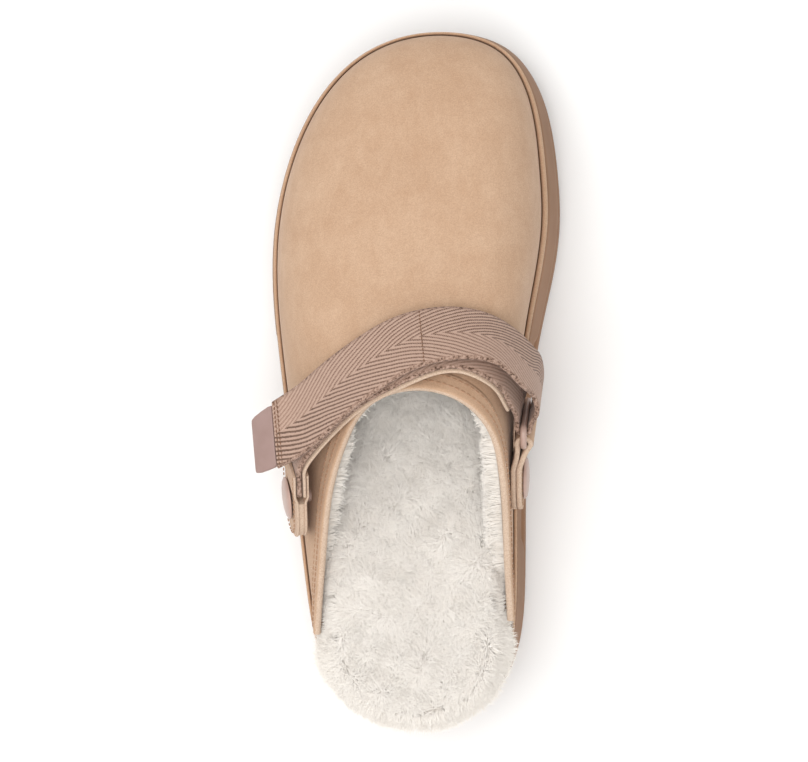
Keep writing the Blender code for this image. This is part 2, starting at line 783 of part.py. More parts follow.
def block(name, frame, run_from, run_to, out_from, out_to, half_width):
    """A box in a tab's frame, used to cut a slot."""
    verts = [
        placed(frame, s, out, over)
        for s in (run_from, run_to)
        for out in (out_from, out_to)
        for over in (-half_width, half_width)
    ]
    faces = [(0, 1, 3, 2), (4, 6, 7, 5), (0, 2, 6, 4), (1, 5, 7, 3), (0, 4, 5, 1), (2, 3, 7, 6)]
    return new_object(name, verts, faces, None)


def make_rivet(name, frame, gap, tab_thickness, material):
    """Domed cap on the tab, shank through tab and upper, flat back inside the upper."""
    point, out, run, over, lean = frame
    top = tab_thickness + CLEARANCE
    bottom = -UPPER_WALL - 2 * CLEARANCE - gap - lean * RIVET_BACK / 2
    cap, back = RIVET_CAP / 2, RIVET_BACK / 2
    profile = (
        (0.0, top + RIVET_CAP_HEIGHT),
        (cap * 0.55, top + RIVET_CAP_HEIGHT * 0.93),
        (cap * 0.86, top + RIVET_CAP_HEIGHT * 0.66),
        (cap, top + RIVET_CAP_HEIGHT * 0.30),
        (cap, top),
        (RIVET_SHANK / 2, top),
        (RIVET_SHANK / 2, bottom),
        (back, bottom),
        (back, bottom - RIVET_BACK_HEIGHT),
        (0.0, bottom - RIVET_BACK_HEIGHT),
    )
    segments = 20
    verts, faces = [], []
    rings = []
    for radius, height in profile:
        centre = point + out * height
        if radius == 0.0:
            verts.append(centre)
            rings.append([len(verts) - 1])
            continue
        start = len(verts)
        for k in range(segments):
            turn = 2 * math.pi * k / segments
            verts.append(centre + radius * (math.cos(turn) * run + math.sin(turn) * over))
        rings.append(list(range(start, start + segments)))
    for a, b in zip(rings[:-1], rings[1:]):
        for k in range(segments):
            m = (k + 1) % segments
            if len(a) == 1:
                faces.append((a[0], b[k], b[m]))
            elif len(b) == 1:
                faces.append((a[k], b[0], a[m]))
            else:
                faces.append((a[k], b[k], b[m], a[m]))
    return new_object(name, verts, faces, material)


def bar_frame(frame):
    """Centre of the ring's rear bar and the ring's own directions."""
    return placed(frame, RING_DISTANCE, TAB_LAYER + bend_at(RING_DISTANCE), 0.0)


def make_ring(frame, material):
    """Rounded rectangle of wire: long bars over the strap's width, short sides along its run."""
    point, out, run, over, lean = frame
    centre = bar_frame(frame) + run * (RING_REACH + RING_WIRE) / 2
    half_run = (RING_REACH + RING_WIRE) / 2
    half_over = (RING_SPAN + RING_WIRE) / 2
    corner = RING_CORNER
    path = []
    for turn, signs in ((0, (1, 1)), (90, (-1, 1)), (180, (-1, -1)), (270, (1, -1))):
        for step in range(4):
            angle = math.radians(turn + 30 * step)
            along_run = signs[0] * (half_run - corner) + corner * math.cos(angle)
            along_over = signs[1] * (half_over - corner) + corner * math.sin(angle)
            side = run * math.cos(angle) + over * math.sin(angle)
            path.append((centre + run * along_run + over * along_over, side))
    segments = 8
    verts, faces = [], []
    for place, side in path:
        for k in range(segments):
            turn = 2 * math.pi * k / segments
            verts.append(place + RING_WIRE / 2 * (math.cos(turn) * side + math.sin(turn) * out))
    for i in range(len(path)):
        a, b = i * segments, ((i + 1) % len(path)) * segments
        faces += [
            (a + k, a + (k + 1) % segments, b + (k + 1) % segments, b + k)
            for k in range(segments)
        ]
    return new_object("ring", verts, faces, material)


def edges_from_table(table):
    scale = np.array([BALL_WIDTH, LENGTH, INSTEP_HEIGHT])
    rows = np.array(table, float)
    rows[:, 1] = along(rows[:, 1])
    rows[:, 4] = along(rows[:, 4])
    scale[1] = 1.0
    return rows[:, :3] * scale, rows[:, 3:] * scale


def width_pair(middle, width_way):
    """Rear and front edge points of the webbing about its middle."""
    reach = unit(width_way) * WEBBING_WIDTH / 2
    return middle + reach, middle - reach


def rest_on(tree, rear, front, gap):
    """Lifts each crossing of the band so that it clears what lies under it by a gap."""
    for i in range(len(rear)):
        lift = 0.0
        for part in np.linspace(0, 1, 9):
            point = rear[i] * (1 - part) + front[i] * part
            above = Vector(point) + Vector((0, 0, INSTEP_HEIGHT / 2))
            hit = tree.ray_cast(above, Vector((0, 0, -1)))
            if hit[0] is not None:
                lift = max(lift, hit[0][2] + gap / max(abs(hit[1][2]), 0.5) - point[2])
        if lift < WEBBING_WIDTH / 2:
            rear[i, 2] += lift
            front[i, 2] += lift
    return rear, front


def strap_stations(outer_frame, inner_frame, tree):
    """Rear and front edges of the strap's middle surface, with the turn round the ring's bar."""
    layer = (OUTER_TAB_THICKNESS + BACKING_THICKNESS + SKIN_GAP) / 2
    first = [placed(outer_frame, TAB_LENGTH * s, layer, 0.0) for s in (0.52, 0.72, 0.92, 1.10)]
    starts = [width_pair(middle, outer_frame[3]) for middle in first]
    point, out, run, over, lean = inner_frame
    bar = bar_frame(inner_frame) + run * (RING_REACH + RING_WIRE)
    reach = RING_WIRE / 2 + CLEARANCE + WEBBING_THICKNESS / 2
    turn = []
    for angle in np.radians(np.linspace(0, 180, 9)):
        middle = bar - out * reach * math.cos(angle) - run * reach * math.sin(angle)
        turn.append(width_pair(middle, over))
    under_rear, under_front = edges_from_table(STRAP_UNDER)
    under_gap = BACKING_THICKNESS + WEBBING_THICKNESS / 2 + 3 * CLEARANCE
    under_rear, under_front = rest_on(tree, under_rear, under_front, under_gap)
    over_rear, over_front = edges_from_table(STRAP_OVER)
    middle, way, normal = band_lines(under_rear, under_front, [4] * (len(under_rear) - 1))
    half_span = WEBBING_WIDTH * 0.508
    lower = [Vector(p) for m, w in zip(middle, way) for p in (m - w * half_span, m + w * half_span)]
    quads = [(i, i + 1, i + 3, i + 2) for i in range(0, len(lower) - 2, 2)]
    over_gap = WEBBING_THICKNESS + 2 * CLEARANCE
    resting = BVHTree.FromPolygons(lower, quads)
    over_rear[4:], over_front[4:] = rest_on(resting, over_rear[4:], over_front[4:], over_gap)
    rear = [pair[0] for pair in starts] + list(under_rear)
    front = [pair[1] for pair in starts] + list(under_front)
    turn_from = len(rear)
    rear += [pair[0] for pair in turn] + list(over_rear)
    front += [pair[1] for pair in turn] + list(over_front)
    return np.array(rear), np.array(front), turn_from, len(turn)


def band_lines(rear, front, counts):
    """Splines through the edges, sampled with a given count between each pair of stations."""
    middle = (rear + front) / 2
    knots = chord_knots(middle)
    at = spline(knots, np.hstack([rear, front]))
    places = [knots[0]]
    for i, count in enumerate(counts):
        places += list(np.linspace(knots[i], knots[i + 1], count + 1)[1:])
    both = at(np.array(places))
    rear, front = both[:, :3], both[:, 3:]
    middle = (rear + front) / 2
    way = rear - front
    way /= np.linalg.norm(way, axis=1)[:, None]
    tangent = np.gradient(middle, axis=0)
    tangent -= (tangent * way).sum(axis=1)[:, None] * way
    tangent /= np.linalg.norm(tangent, axis=1)[:, None]
    normal = np.cross(tangent, way)
    return middle, way, normal


def make_band(name, middle, way, normal, width, thickness, offset, material):
    """A flat band of even thickness, with its middle set off along its own normal."""
    verts, faces = [], []
    for place, over, out in zip(middle, way, normal):
        centre = place + out * offset
        for w, t in ((-1, -1), (0, -1), (1, -1), (1, 1), (0, 1), (-1, 1)):
            verts.append(centre + over * w * width / 2 + out * t * thickness / 2)
    for i in range(len(middle) - 1):
        a, b = 6 * i, 6 * (i + 1)
        faces += [(a + k, a + (k + 1) % 6, b + (k + 1) % 6, b + k) for k in range(6)]
    last = 6 * (len(middle) - 1)
    for start in (0, last):
        faces += [tuple(start + k for k in (0, 1, 4, 5)), tuple(start + k for k in (1, 2, 3, 4))]
    return new_object(name, verts, faces, material)


def make_tip(middle, way, normal, material):
    """Stiff plate past the webbing's end, narrower towards its free edge."""
    tangent = unit(middle[-1] - middle[-2])
    start = middle[-1] + tangent * CLEARANCE
    rows = ((0.0, 0.96, 1.0), (0.16, 1.0, 1.0), (0.80, 0.93, 1.0), (1.0, 0.84, 0.7))
    verts, faces = [], []
    for along_share, width_share, thick_share in rows:
        centre = start + tangent * TIP_LENGTH * along_share
        for w, t in ((-1, -1), (1, -1), (1, 1), (-1, 1)):
            verts.append(
                centre
                + way[-1] * w * TIP_WIDTH / 2 * width_share
                + normal[-1] * t * TIP_THICKNESS / 2 * thick_share
            )
    for i in range(len(rows) - 1):
        a, b = 4 * i, 4 * (i + 1)
        faces += [(a + k, a + (k + 1) % 4, b + (k + 1) % 4, b + k) for k in range(4)]
    faces += [(0, 1, 2, 3), tuple(4 * (len(rows) - 1) + k for k in range(4))]
    return new_object("strap_tip", verts, faces, material)


def make_fastening(upper, suede, webbing, metal, plastic):
    """Strap with its backing and tip, both tabs, the ring and the rivets."""
    tree = surface_tree(upper)
    outer_frame = tab_frame(tree, RIVET_OUTER, -1)
    inner_frame = tab_frame(tree, RIVET_INNER, 1)
    thickness = 2 * TAB_LAYER
    tails = RIVET_OUTER[-1], RIVET_INNER[-1]
    outer = OUTER_TAB_THICKNESS
    tab_outer = make_tab("tab_outer", outer_frame, TAB_LENGTH, tails[0], outer, 0.0, suede)
    loop = RING_WIRE / 2 + CLEARANCE + TAB_LAYER * 0.8
    tab_inner = make_tab("tab_inner", inner_frame, RING_DISTANCE, tails[1], thickness, loop, suede)
    point, out, run, over, lean = inner_frame
    bar = bar_frame(inner_frame)
    cut_away(
        tab_inner,
        cylinder(
            "bar_hole", bar - over * RING_SPAN, bar + over * RING_SPAN,
            RING_WIRE / 2 + CLEARANCE, 16,
        ),
    )
    rear, front, turn_from, turn_count = strap_stations(outer_frame, inner_frame, tree)
    after_turn = len(rear) - turn_from - turn_count
    counts = [1, 1, 1, 4, 4] + [2] * (turn_from - 5) + [1] * (turn_count - 1) + [2] * after_turn
    middle, way, normal = band_lines(rear, front, counts)
    if normal[len(normal) // 6][2] < 0:
        normal = -normal
    make_band("strap", middle, way, normal, WEBBING_WIDTH, WEBBING_THICKNESS, 0.0, webbing)
    under = sum(counts[: turn_from - 1])
    below = -(WEBBING_THICKNESS + BACKING_THICKNESS) / 2 - SKIN_GAP
    make_band(
        "strap_backing", middle[:under], way[:under], normal[:under],
        BACKING_WIDTH, BACKING_THICKNESS, below, suede,
    )
    make_tip(middle, way, normal, plastic)
    make_ring(inner_frame, metal)
    slot_middle = OUTER_TAB_THICKNESS / 2
    slot = (WEBBING_THICKNESS + BACKING_THICKNESS + SKIN_GAP) / 2 + CLEARANCE
    cut_away(
        tab_outer,
        block(
            "slot", outer_frame, TAB_LENGTH * 0.48, TAB_LENGTH * 2,
            slot_middle - slot, slot_middle + slot, TAB_WIDTH,
        ),
    )
    riveted = (
        ("rivet_outer", outer_frame, tab_outer, RIVET_OUTER[-2], outer),
        ("rivet_inner", inner_frame, tab_inner, RIVET_INNER[-2], thickness),
    )
    for name, frame, tab, gap, under_cap in riveted:
        point, out = frame[:2]
        for target in (tab, upper):
            ends = point - out * RIVET_CAP, point + out * RIVET_CAP
            cut_away(target, cylinder("hole", *ends, RIVET_SHANK / 2 + CLEARANCE, 16))
        make_rivet(name, frame, gap, under_cap, metal)


def main():
    for old in list(bpy.data.objects):
        bpy.data.objects.remove(old)
    suede = finish("sueded_leather", (0.62, 0.43, 0.29), 0.95)
    foam = finish("moulded_foam", (0.42, 0.28, 0.19), 0.75)
    make_sole(foam)
    make_welt(suede)
    upper = make_upper(suede)
    make_insole(finish("wool_pile", (0.86, 0.82, 0.76), 1.0))
    webbing = finish("polyester_webbing", (0.46, 0.33, 0.27), 0.8)
    metal = finish("coated_metal", (0.55, 0.42, 0.37), 0.4, 0.2)
    plastic = finish("moulded_plastic", (0.45, 0.31, 0.27), 0.5)
    make_fastening(upper, suede, webbing, metal, plastic)


main()
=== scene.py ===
"""Clog slipper, left foot: smooth forms, pile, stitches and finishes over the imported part."""

import functools
import math

import bmesh
import bpy
import numpy as np
from mathutils import Matrix, Vector
from mathutils.bvhtree import BVHTree


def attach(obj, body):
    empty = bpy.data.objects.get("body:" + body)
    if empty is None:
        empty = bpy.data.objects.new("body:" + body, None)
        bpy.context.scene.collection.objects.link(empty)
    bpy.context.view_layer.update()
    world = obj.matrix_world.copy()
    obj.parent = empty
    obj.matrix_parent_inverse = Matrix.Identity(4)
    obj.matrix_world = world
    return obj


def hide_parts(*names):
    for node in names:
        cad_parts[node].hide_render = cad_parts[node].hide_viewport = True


bl_info = {
    "name": "Clog slipper",
    "version": (1, 0, 0),
    "blender": (4, 5, 0),
    "location": "View3D > Sidebar > Slipper",
    "description": "Suede clog slipper with plush insole, platform sole and webbing strap",
    "category": "Add Mesh",
}

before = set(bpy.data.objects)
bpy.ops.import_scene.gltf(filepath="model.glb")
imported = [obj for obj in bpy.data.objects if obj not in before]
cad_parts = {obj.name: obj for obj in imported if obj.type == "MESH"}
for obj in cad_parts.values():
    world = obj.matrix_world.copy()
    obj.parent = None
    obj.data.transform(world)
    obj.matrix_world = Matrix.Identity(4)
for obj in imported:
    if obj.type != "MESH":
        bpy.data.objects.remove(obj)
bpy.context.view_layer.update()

# Driving sizes of the shoe.
LENGTH = 0.2700
BALL_WIDTH = 0.114
HEEL_HEIGHT = 0.0465
INSTEP_HEIGHT = 0.1060
HEEL_SEAT = 0.045
TOE_SPRING = 0.013
ARCH_RISE = 0.006
HEEL_BEVEL = 0.004
SIDE_FLARE = 0.0070

# Gaps: what touches on the real shoe is this far apart.
CLEARANCE = 0.0003
SKIN_GAP = 0.0004

# Sole.
WELT_WIDTH = 0.0021
WELT_HEIGHT = 0.0026
FOOTBED_DROP = 0.0015
GROOVE_WIDTH = 0.0036
GROOVE_DEPTH = 0.0030
GROOVE_BOW = 0.0080
SHELF_WIDTH = 0.0020
BED_STEP_WIDTH = 0.0020
LUG_PITCH = 0.0150
ARCH_PANEL_DEPTH = 0.0012

# Upper.
UPPER_WALL = 0.0022
EDGE_FOLD_WIDTH = 0.0070
EDGE_FOLD_STEP = 0.0007

# Insole with its pile.
PILE_HEIGHT = 0.0125
LOCK_SIZE = 0.0150
LOCK_RELIEF = 0.0010
INSOLE_GAP = 0.0006
CUSHION_INSET = 0.0050
CUSHION_SHELF_INSET = 0.0024

# Behind the upper the insole widens to the sole's edge. Both are shares of the way round the sole:
# how far past the upper's rear ends it begins, and over what stretch.
HEEL_OPENS_AFTER = 0.006
HEEL_WIDENS_OVER = 0.02

# Strap, ring, tip and rivets.
WEBBING_WIDTH = 0.0250
WEBBING_THICKNESS = 0.0018
BACKING_WIDTH = 0.0262
BACKING_THICKNESS = 0.0011
TAB_WIDTH = 0.0240
TAB_LAYER = 0.0021
TAB_LENGTH = 0.0190
OUTER_TAB_THICKNESS = 0.0058
RING_WIRE = 0.0024
RING_SPAN = 0.0264
RING_REACH = 0.0048
RING_CORNER = 0.0026
RING_DISTANCE = 0.0190
TIP_LENGTH = 0.0105
TIP_THICKNESS = 0.0026
TIP_WIDTH = 0.0228
RIVET_CAP = 0.0160
RIVET_CAP_HEIGHT = 0.0018
RIVET_SHANK = 0.0050
RIVET_BACK = 0.0110
RIVET_BACK_HEIGHT = 0.0009

# Pile: the strands' lengths, width, bend over at the tip, lean by themselves and turn in radians.
INSOLE_STRAND = 0.0062
LINING_STRAND = 0.0090
STRAND_WIDTH = 0.00036
STRAND_BEND = 0.55
STRAY = 0.11
STRAND_SPIN = 0.7

# Lining: gap to the wall, how far below the collar's edge it starts, how much lower that is at the
# rear ends, how far down it reaches, and how many strands stand on it.
LINING_GAP = 0.0004
LINING_START = 0.0018
LINING_REAR_DROP = 0.0080
LINING_DEPTH = 0.038
LINING_STRANDS = 66000

# Webbing: one yarn, its slant, the length over which the painted shade in the gaps between the ribs
# fades, what is left of it then, and the width of the change to the selvedge.
YARN_PITCH = 0.00085
YARN_SLANT = 0.9
FADE_LENGTH = 0.13
FADED = 0.38
SELVEDGE_START = 0.0009

# The cross seam's distance from the strap's free end.
CROSS_SEAM = 0.0725

# Points along each half of the sole's edge, and along each half of the collar.
EDGE_SAMPLES = 600
COLLAR_SAMPLES = 400

# The sole seen from above, from the heel round the outer side to the toe and back.
# Columns: share of length, share of ball width, share of the side flare.
OUTLINE = (
    (0.000, 0.010, 0.49),
    (0.012, -0.137, 0.50),
    (0.055, -0.276, 0.53),
    (0.122, -0.348, 0.56),
    (0.205, -0.384, 0.59),
    (0.361, -0.431, 0.66),
    (0.503, -0.475, 0.69),
    (0.623, -0.505, 0.71),
    (0.719, -0.500, 0.71),
    (0.802, -0.460, 0.70),
    (0.857, -0.411, 0.70),
    (0.923, -0.313, 0.67),
    (0.966, -0.198, 0.60),
    (1.000, 0.100, 0.52),
    (0.970, 0.340, 0.72),
    (0.931, 0.412, 0.82),
    (0.872, 0.461, 0.92),
    (0.800, 0.486, 1.00),
    (0.726, 0.493, 1.00),
    (0.665, 0.477, 0.98),
    (0.575, 0.432, 0.86),
    (0.465, 0.392, 0.70),
    (0.340, 0.376, 0.62),
    (0.200, 0.373, 0.58),
    (0.117, 0.356, 0.57),
    (0.065, 0.314, 0.55),
    (0.018, 0.200, 0.52),
)
TOE_ROW = 13

# The sole's top edge. Columns: share of length, share of heel height.
SOLE_TOP = (
    (0.00, 1.010),
    (0.16, 1.000),
    (0.34, 0.965),
    (0.54, 0.870),
    (0.74, 0.820),
    (0.88, 0.855),
    (1.00, 0.960),
)

# Where the sole's underside lies flat, and its waist. All are shares of length.
HEEL_FLAT_FROM = 0.055
ARCH_FROM = 0.315
ARCH_TO = 0.555
FOREFOOT_FLAT_TO = 0.790
TREAD_TO = 0.930

# The waist panel sunk into both sides of the sole.
PANEL_FROM = 0.255
PANEL_TO = 0.560
PANEL_LOW = 0.40
PANEL_HIGH = 0.96
PANEL_SOFT_ENDS = 0.012
PANEL_SOFT_EDGES = 0.03

# The collar, from the outer rear end over the throat to the inner rear end.
# Columns: share of ball width, share of length, share of instep height.
COLLAR = (
    (-0.322, 0.140, 0.530),
    (-0.312, 0.185, 0.575),
    (-0.292, 0.256, 0.655),
    (-0.258, 0.345, 0.775),
    (-0.200, 0.415, 0.885),
    (-0.125, 0.463, 0.955),
    (-0.025, 0.484, 0.990),
    (0.078, 0.487, 1.000),
    (0.205, 0.467, 0.985),
    (0.280, 0.432, 0.940),
    (0.315, 0.378, 0.865),
    (0.326, 0.316, 0.760),
    (0.330, 0.250, 0.660),
    (0.334, 0.200, 0.580),
    (0.338, 0.160, 0.530),
)
THROAT_ROW = 7

# The collar's points run ahead of the welt's: by this power, in this share.
COLLAR_EASE = 2.4
COLLAR_EASED = 0.86

# How the upper rises from the welt to the collar. Columns: share of the way from the rear end to
# the toe, share of height that the wall stands before it turns, share of the plan distance that
# the top runs back flat, and the top's slope in degrees, on the outer and on the inner side.
RISE = (
    (0.00, 0.34, 0.30, 70.0, 80.0),
    (0.20, 0.36, 0.34, 58.0, 76.0),
    (0.40, 0.54, 0.40, 38.0, 54.0),
    (0.60, 0.62, 0.42, 29.0, 33.0),
    (0.80, 0.62, 0.42, 28.0, 29.0),
    (1.00, 0.61, 0.42, 28.0, 28.0),
)
UPPER_REAR_OUTER = 0.104
UPPER_REAR_INNER = 0.888

# The share of the way round the toe over which the outer slope turns into the inner one, and how
# far the wall leans in as it stands.
SIDE_BLEND = 0.08
WALL_LEAN = 0.06

# Rivets: share of length, height of the back's lower edge over the pile's mean top, how far the
# tab rises towards the strap in degrees, how upright it hangs (1 lies on the upper, 0 is
# vertical), its gap to the upper and how far the round end's centre lies behind the rivet.
RIVET_OUTER = (0.336, 0.0008, 38.0, 0.55, 0.0021, 0.0040)
RIVET_INNER = (0.361, -0.0005, 24.0, 1.00, 0.0004, 0.0)

# The inner tab is bent away from the upper from here on, by this slope.
TAB_BEND_FROM = 0.0084
TAB_BEND_SLOPE = 0.28

# The strap's lower run, from the outer tab over the instep towards the ring.
# Columns: rear edge, then front edge, each as shares of ball width, length, instep height.
STRAP_UNDER = (
    (-0.309, 0.397, 0.860, -0.382, 0.448, 0.697),
    (-0.211, 0.436, 0.948, -0.311, 0.494, 0.802),
    (-0.130, 0.463, 1.006, -0.232, 0.528, 0.884),
    (-0.025, 0.487, 1.052, -0.105, 0.557, 0.930),
    (0.054, 0.502, 1.070, 0.004, 0.574, 0.933),
    (0.124, 0.511, 1.066, 0.105, 0.585, 0.925),
    (0.199, 0.511, 1.057, 0.219, 0.582, 0.911),
    (0.256, 0.501, 1.040, 0.303, 0.567, 0.884),
    (0.309, 0.483, 0.976, 0.360, 0.541, 0.802),
    (0.333, 0.464, 0.915, 0.380, 0.515, 0.722),
    (0.354, 0.444, 0.840, 0.384, 0.487, 0.630),
)

# The strap's upper run, from the ring back over the lower run to the free end.
STRAP_OVER = (
    (0.420, 0.450, 0.849, 0.432, 0.494, 0.646),
    (0.406, 0.476, 0.915, 0.428, 0.528, 0.726),
    (0.379, 0.487, 0.981, 0.410, 0.539, 0.797),
    (0.340, 0.506, 1.030, 0.374, 0.554, 0.850),
    (0.294, 0.521, 1.060, 0.325, 0.570, 0.885),
    (0.150, 0.523, 1.090, 0.167, 0.594, 0.939),
    (0.022, 0.506, 1.090, -0.031, 0.581, 0.953),
    (-0.079, 0.481, 1.062, -0.149, 0.552, 0.935),
    (-0.175, 0.455, 1.006, -0.268, 0.513, 0.884),
    (-0.267, 0.421, 0.932, -0.342, 0.487, 0.832),
    (-0.338, 0.400, 0.870, -0.382, 0.474, 0.812),
    (-0.416, 0.381, 0.806, -0.434, 0.462, 0.792),
)


def along(share):
    """A share of the length, from the heel, as a place on the Y axis."""
    return share * LENGTH - HEEL_SEAT


def column(table, index):
    """One column of a table as an array."""
    return np.array([row[index] for row in table], float)


def spline(knots, values, closed=False):
    """A curve with even curvature through values at knots, as a function of the knot."""
    knots, values = np.asarray(knots, float), np.asarray(values, float)
    if values.ndim == 1:
        values = values[:, None]
    n, step = len(knots), np.diff(knots)
    slope = np.diff(values, axis=0) / step[:, None]
    count = n - 1 if closed else n
    system, target = np.zeros((count, count)), np.zeros((count, values.shape[1]))
    for i in range(count):
        if not closed and i in (0, n - 1):
            system[i, i] = 1.0
            continue
        before, after = (i - 1) % (n - 1), i
        system[i, (i - 1) % count] += step[before]
        system[i, i] += 2 * (step[before] + step[after])
        system[i, (i + 1) % count] += step[after]
        target[i] = 6 * (slope[after] - slope[before])
    bend = np.linalg.solve(system, target)
    if closed:
        bend = np.vstack([bend, bend[:1]])

    def at(where):
        where = np.atleast_1d(np.asarray(where, float))
        i = np.clip(np.searchsorted(knots, where, side="right") - 1, 0, n - 2)
        h, t = step[i][:, None], (where - knots[i])[:, None]
        rest = h - t
        return (
            bend[i] * rest**3 / (6 * h)
            + bend[i + 1] * t**3 / (6 * h)
            + (values[i] / h - bend[i] * h / 6) * rest
            + (values[i + 1] / h - bend[i + 1] * h / 6) * t
        )

    return at


def chord_knots(points):
    """Knots spaced as the points are."""
    gaps = np.linalg.norm(np.diff(points, axis=0), axis=1)
    return np.concatenate([[0.0], np.cumsum(gaps)])


def even_by_length(points, count, axes=3):
    """The polyline resampled to count + 1 points, evenly along its first axes."""
    run = chord_knots(points[:, :axes])
    wanted = np.linspace(0, run[-1], count + 1)
    return np.stack([np.interp(wanted, run, points[:, k]) for k in range(points.shape[1])], 1)


def make_outline():
    """Each half of the sole's edge, heel to toe, as dense rows of x, y and flare."""
    rows = np.array([(w * BALL_WIDTH, along(l), f) for l, w, f in OUTLINE])
    closed = np.vstack([rows, rows[:1]])
    knots = chord_knots(closed[:, :2])
    curve = spline(knots, closed, closed=True)
    halves = ((0, knots[TOE_ROW]), (knots[TOE_ROW], knots[-1]))
    dense = [curve(np.linspace(start, end, EDGE_SAMPLES)) for start, end in halves]
    return [even_by_length(half, EDGE_SAMPLES, axes=2) for half in dense]


OUTER_EDGE, INNER_EDGE = make_outline()
WHOLE_EDGE = np.vstack([OUTER_EDGE[:-1], INNER_EDGE[:-1]])


def unit(vector):
    vector = np.asarray(vector, float)
    return vector / np.linalg.norm(vector)


def unit_rows(rows):
    return rows / np.linalg.norm(rows, axis=-1, keepdims=True)


def inward_normals():
    """Level directions from the sole's edge to its inside."""
    ahead, behind = np.roll(WHOLE_EDGE[:, :2], -1, axis=0), np.roll(WHOLE_EDGE[:, :2], 1, axis=0)
    way = unit_rows(ahead - behind)
    return np.stack([way[:, 1], -way[:, 0]], 1)


EDGE_NORMALS = inward_normals()


def edge_at(round_share, flare_share, extra=0.0):
    """x, y of the sole's edge set in by a share of the side flare and an extra distance.

    round_share runs from 0 at the heel over the outer side to 0.5 at the toe and 1 at the heel.
    """
    count = len(WHOLE_EDGE)
    place = (np.atleast_1d(round_share) % 1.0) * count
    low = np.floor(place).astype(int) % count
    part = (place - np.floor(place))[:, None]
    rows = WHOLE_EDGE[low] * (1 - part) + WHOLE_EDGE[(low + 1) % count] * part
    normal = EDGE_NORMALS[low] * (1 - part) + EDGE_NORMALS[(low + 1) % count] * part
    inset = flare_share * rows[:, 2:3] * SIDE_FLARE + extra
    return rows[:, :2] + normal * inset


def ring_shares(count):
    """Shares of the way round the sole, with a given count on each side."""
    return np.arange(2 * count) / (2 * count)


SOLE_TOP_AT = spline(column(SOLE_TOP, 0), column(SOLE_TOP, 1))


def sole_top(y):
    """Height of the sole's top edge at a place on the Y axis."""
    share = np.clip((np.asarray(y, float) + HEEL_SEAT) / LENGTH, 0, 1)
    return SOLE_TOP_AT(share)[:, 0] * HEEL_HEIGHT


def sole_tread(y):
    """Height of the underside: bevelled heel, raised waist and toe spring, flat between."""
    share = np.clip((np.asarray(y, float) + HEEL_SEAT) / LENGTH, 0, 1)
    heel = np.clip((HEEL_FLAT_FROM - share) / HEEL_FLAT_FROM, 0, 1) ** 2 * HEEL_BEVEL
    waist = np.clip((share - ARCH_FROM) / (ARCH_TO - ARCH_FROM), 0, 1)
    arch = np.sin(math.pi * waist) ** 2 * ARCH_RISE
    toe = np.clip((share - FOREFOOT_FLAT_TO) / (1 - FOREFOOT_FLAT_TO), 0, 1) ** 2 * TOE_SPRING
    return heel + arch + toe


def lifted(plan, z):
    """Plan points with their heights."""
    return np.column_stack([plan, z])


def groove_centres():
    """Places on the Y axis of the tread's grooves, with a lug's middle at the origin."""
    last = int(along(TREAD_TO) / LUG_PITCH)
    places = [LUG_PITCH * (k + 0.5) for k in range(-2, last)]
    waist = (along(ARCH_FROM) - LUG_PITCH / 2, along(ARCH_TO) + LUG_PITCH / 2)
    return [y for y in places if y < waist[0] or y > waist[1]]


def collar_halves(count=COLLAR_SAMPLES):
    """Dense points of the collar, outer and inner half, both from the rear end to the throat."""
    rows = np.array([(w * BALL_WIDTH, along(l), h * INSTEP_HEIGHT) for w, l, h in COLLAR])
    knots = chord_knots(rows)
    curve = spline(knots, rows)
    outer = curve(np.linspace(0, knots[THROAT_ROW], count))
    inner = curve(np.linspace(knots[-1], knots[THROAT_ROW], count))
    return even_by_length(outer, count), even_by_length(inner, count)


COLLAR_OUTER, COLLAR_INNER = collar_halves()


def collar_point(forward, inner_side):
    """Collar point for a share of the way from the rear end to the toe along the welt."""
    curved = 1 - (1 - forward) ** COLLAR_EASE
    eased = COLLAR_EASED * curved + (1 - COLLAR_EASED) * forward
    half = COLLAR_INNER if inner_side else COLLAR_OUTER
    place = eased * (len(half) - 1)
    low = min(int(place), len(half) - 2)
    return half[low] * (1 - (place - low)) + half[low + 1] * (place - low)


RISE_AT = spline(column(RISE, 0), np.array([row[1:] for row in RISE]))


def upper_curve(round_share, samples=48):
    """One line of the upper's outside, from the welt up to the collar, evenly spaced."""
    inner_side = round_share > 0.5
    rear = UPPER_REAR_INNER if inner_side else UPPER_REAR_OUTER
    forward = (round_share - rear) / (0.5 - rear)
    forward = min(max(forward, 0.0), 1.0)
    stand, run, outer_slope, inner_slope = RISE_AT(forward)[0]
    mix = min(max((round_share - (0.5 - SIDE_BLEND / 2)) / SIDE_BLEND, 0.0), 1.0)
    slope = math.radians(outer_slope + (inner_slope - outer_slope) * mix)
    foot = edge_at(round_share, 1.0)[0]
    foot = np.array([foot[0], foot[1], float(sole_top([foot[1]])[0]) + CLEARANCE])
    top = collar_point(forward, inner_side)
    flat = foot[:2] - top[:2]
    reach = np.linalg.norm(flat)
    flat = flat / max(reach, 1e-9)
    up = np.array([0.0, 0.0, 1.0])
    height = top[2] - foot[2]
    lean = np.array([-flat[0], -flat[1], 0.0]) * WALL_LEAN
    first = foot + (up + lean) * height * stand
    away = np.array([*(flat * math.cos(slope)), -math.sin(slope)])
    second = top + away * max(reach * run, height * 0.3 * math.sin(slope))
    t = np.linspace(0, 1, samples)[:, None]
    low = (1 - t) ** 3 * foot + 3 * (1 - t) ** 2 * t * first
    high = 3 * (1 - t) * t**2 * second + t**3 * top
    return even_by_length(low + high, samples)


def grid_normals(grid):
    """Outward normals of a grid of surface points."""
    side = np.gradient(grid, axis=0)
    rise = np.gradient(grid, axis=1)
    return unit_rows(np.cross(rise, side))


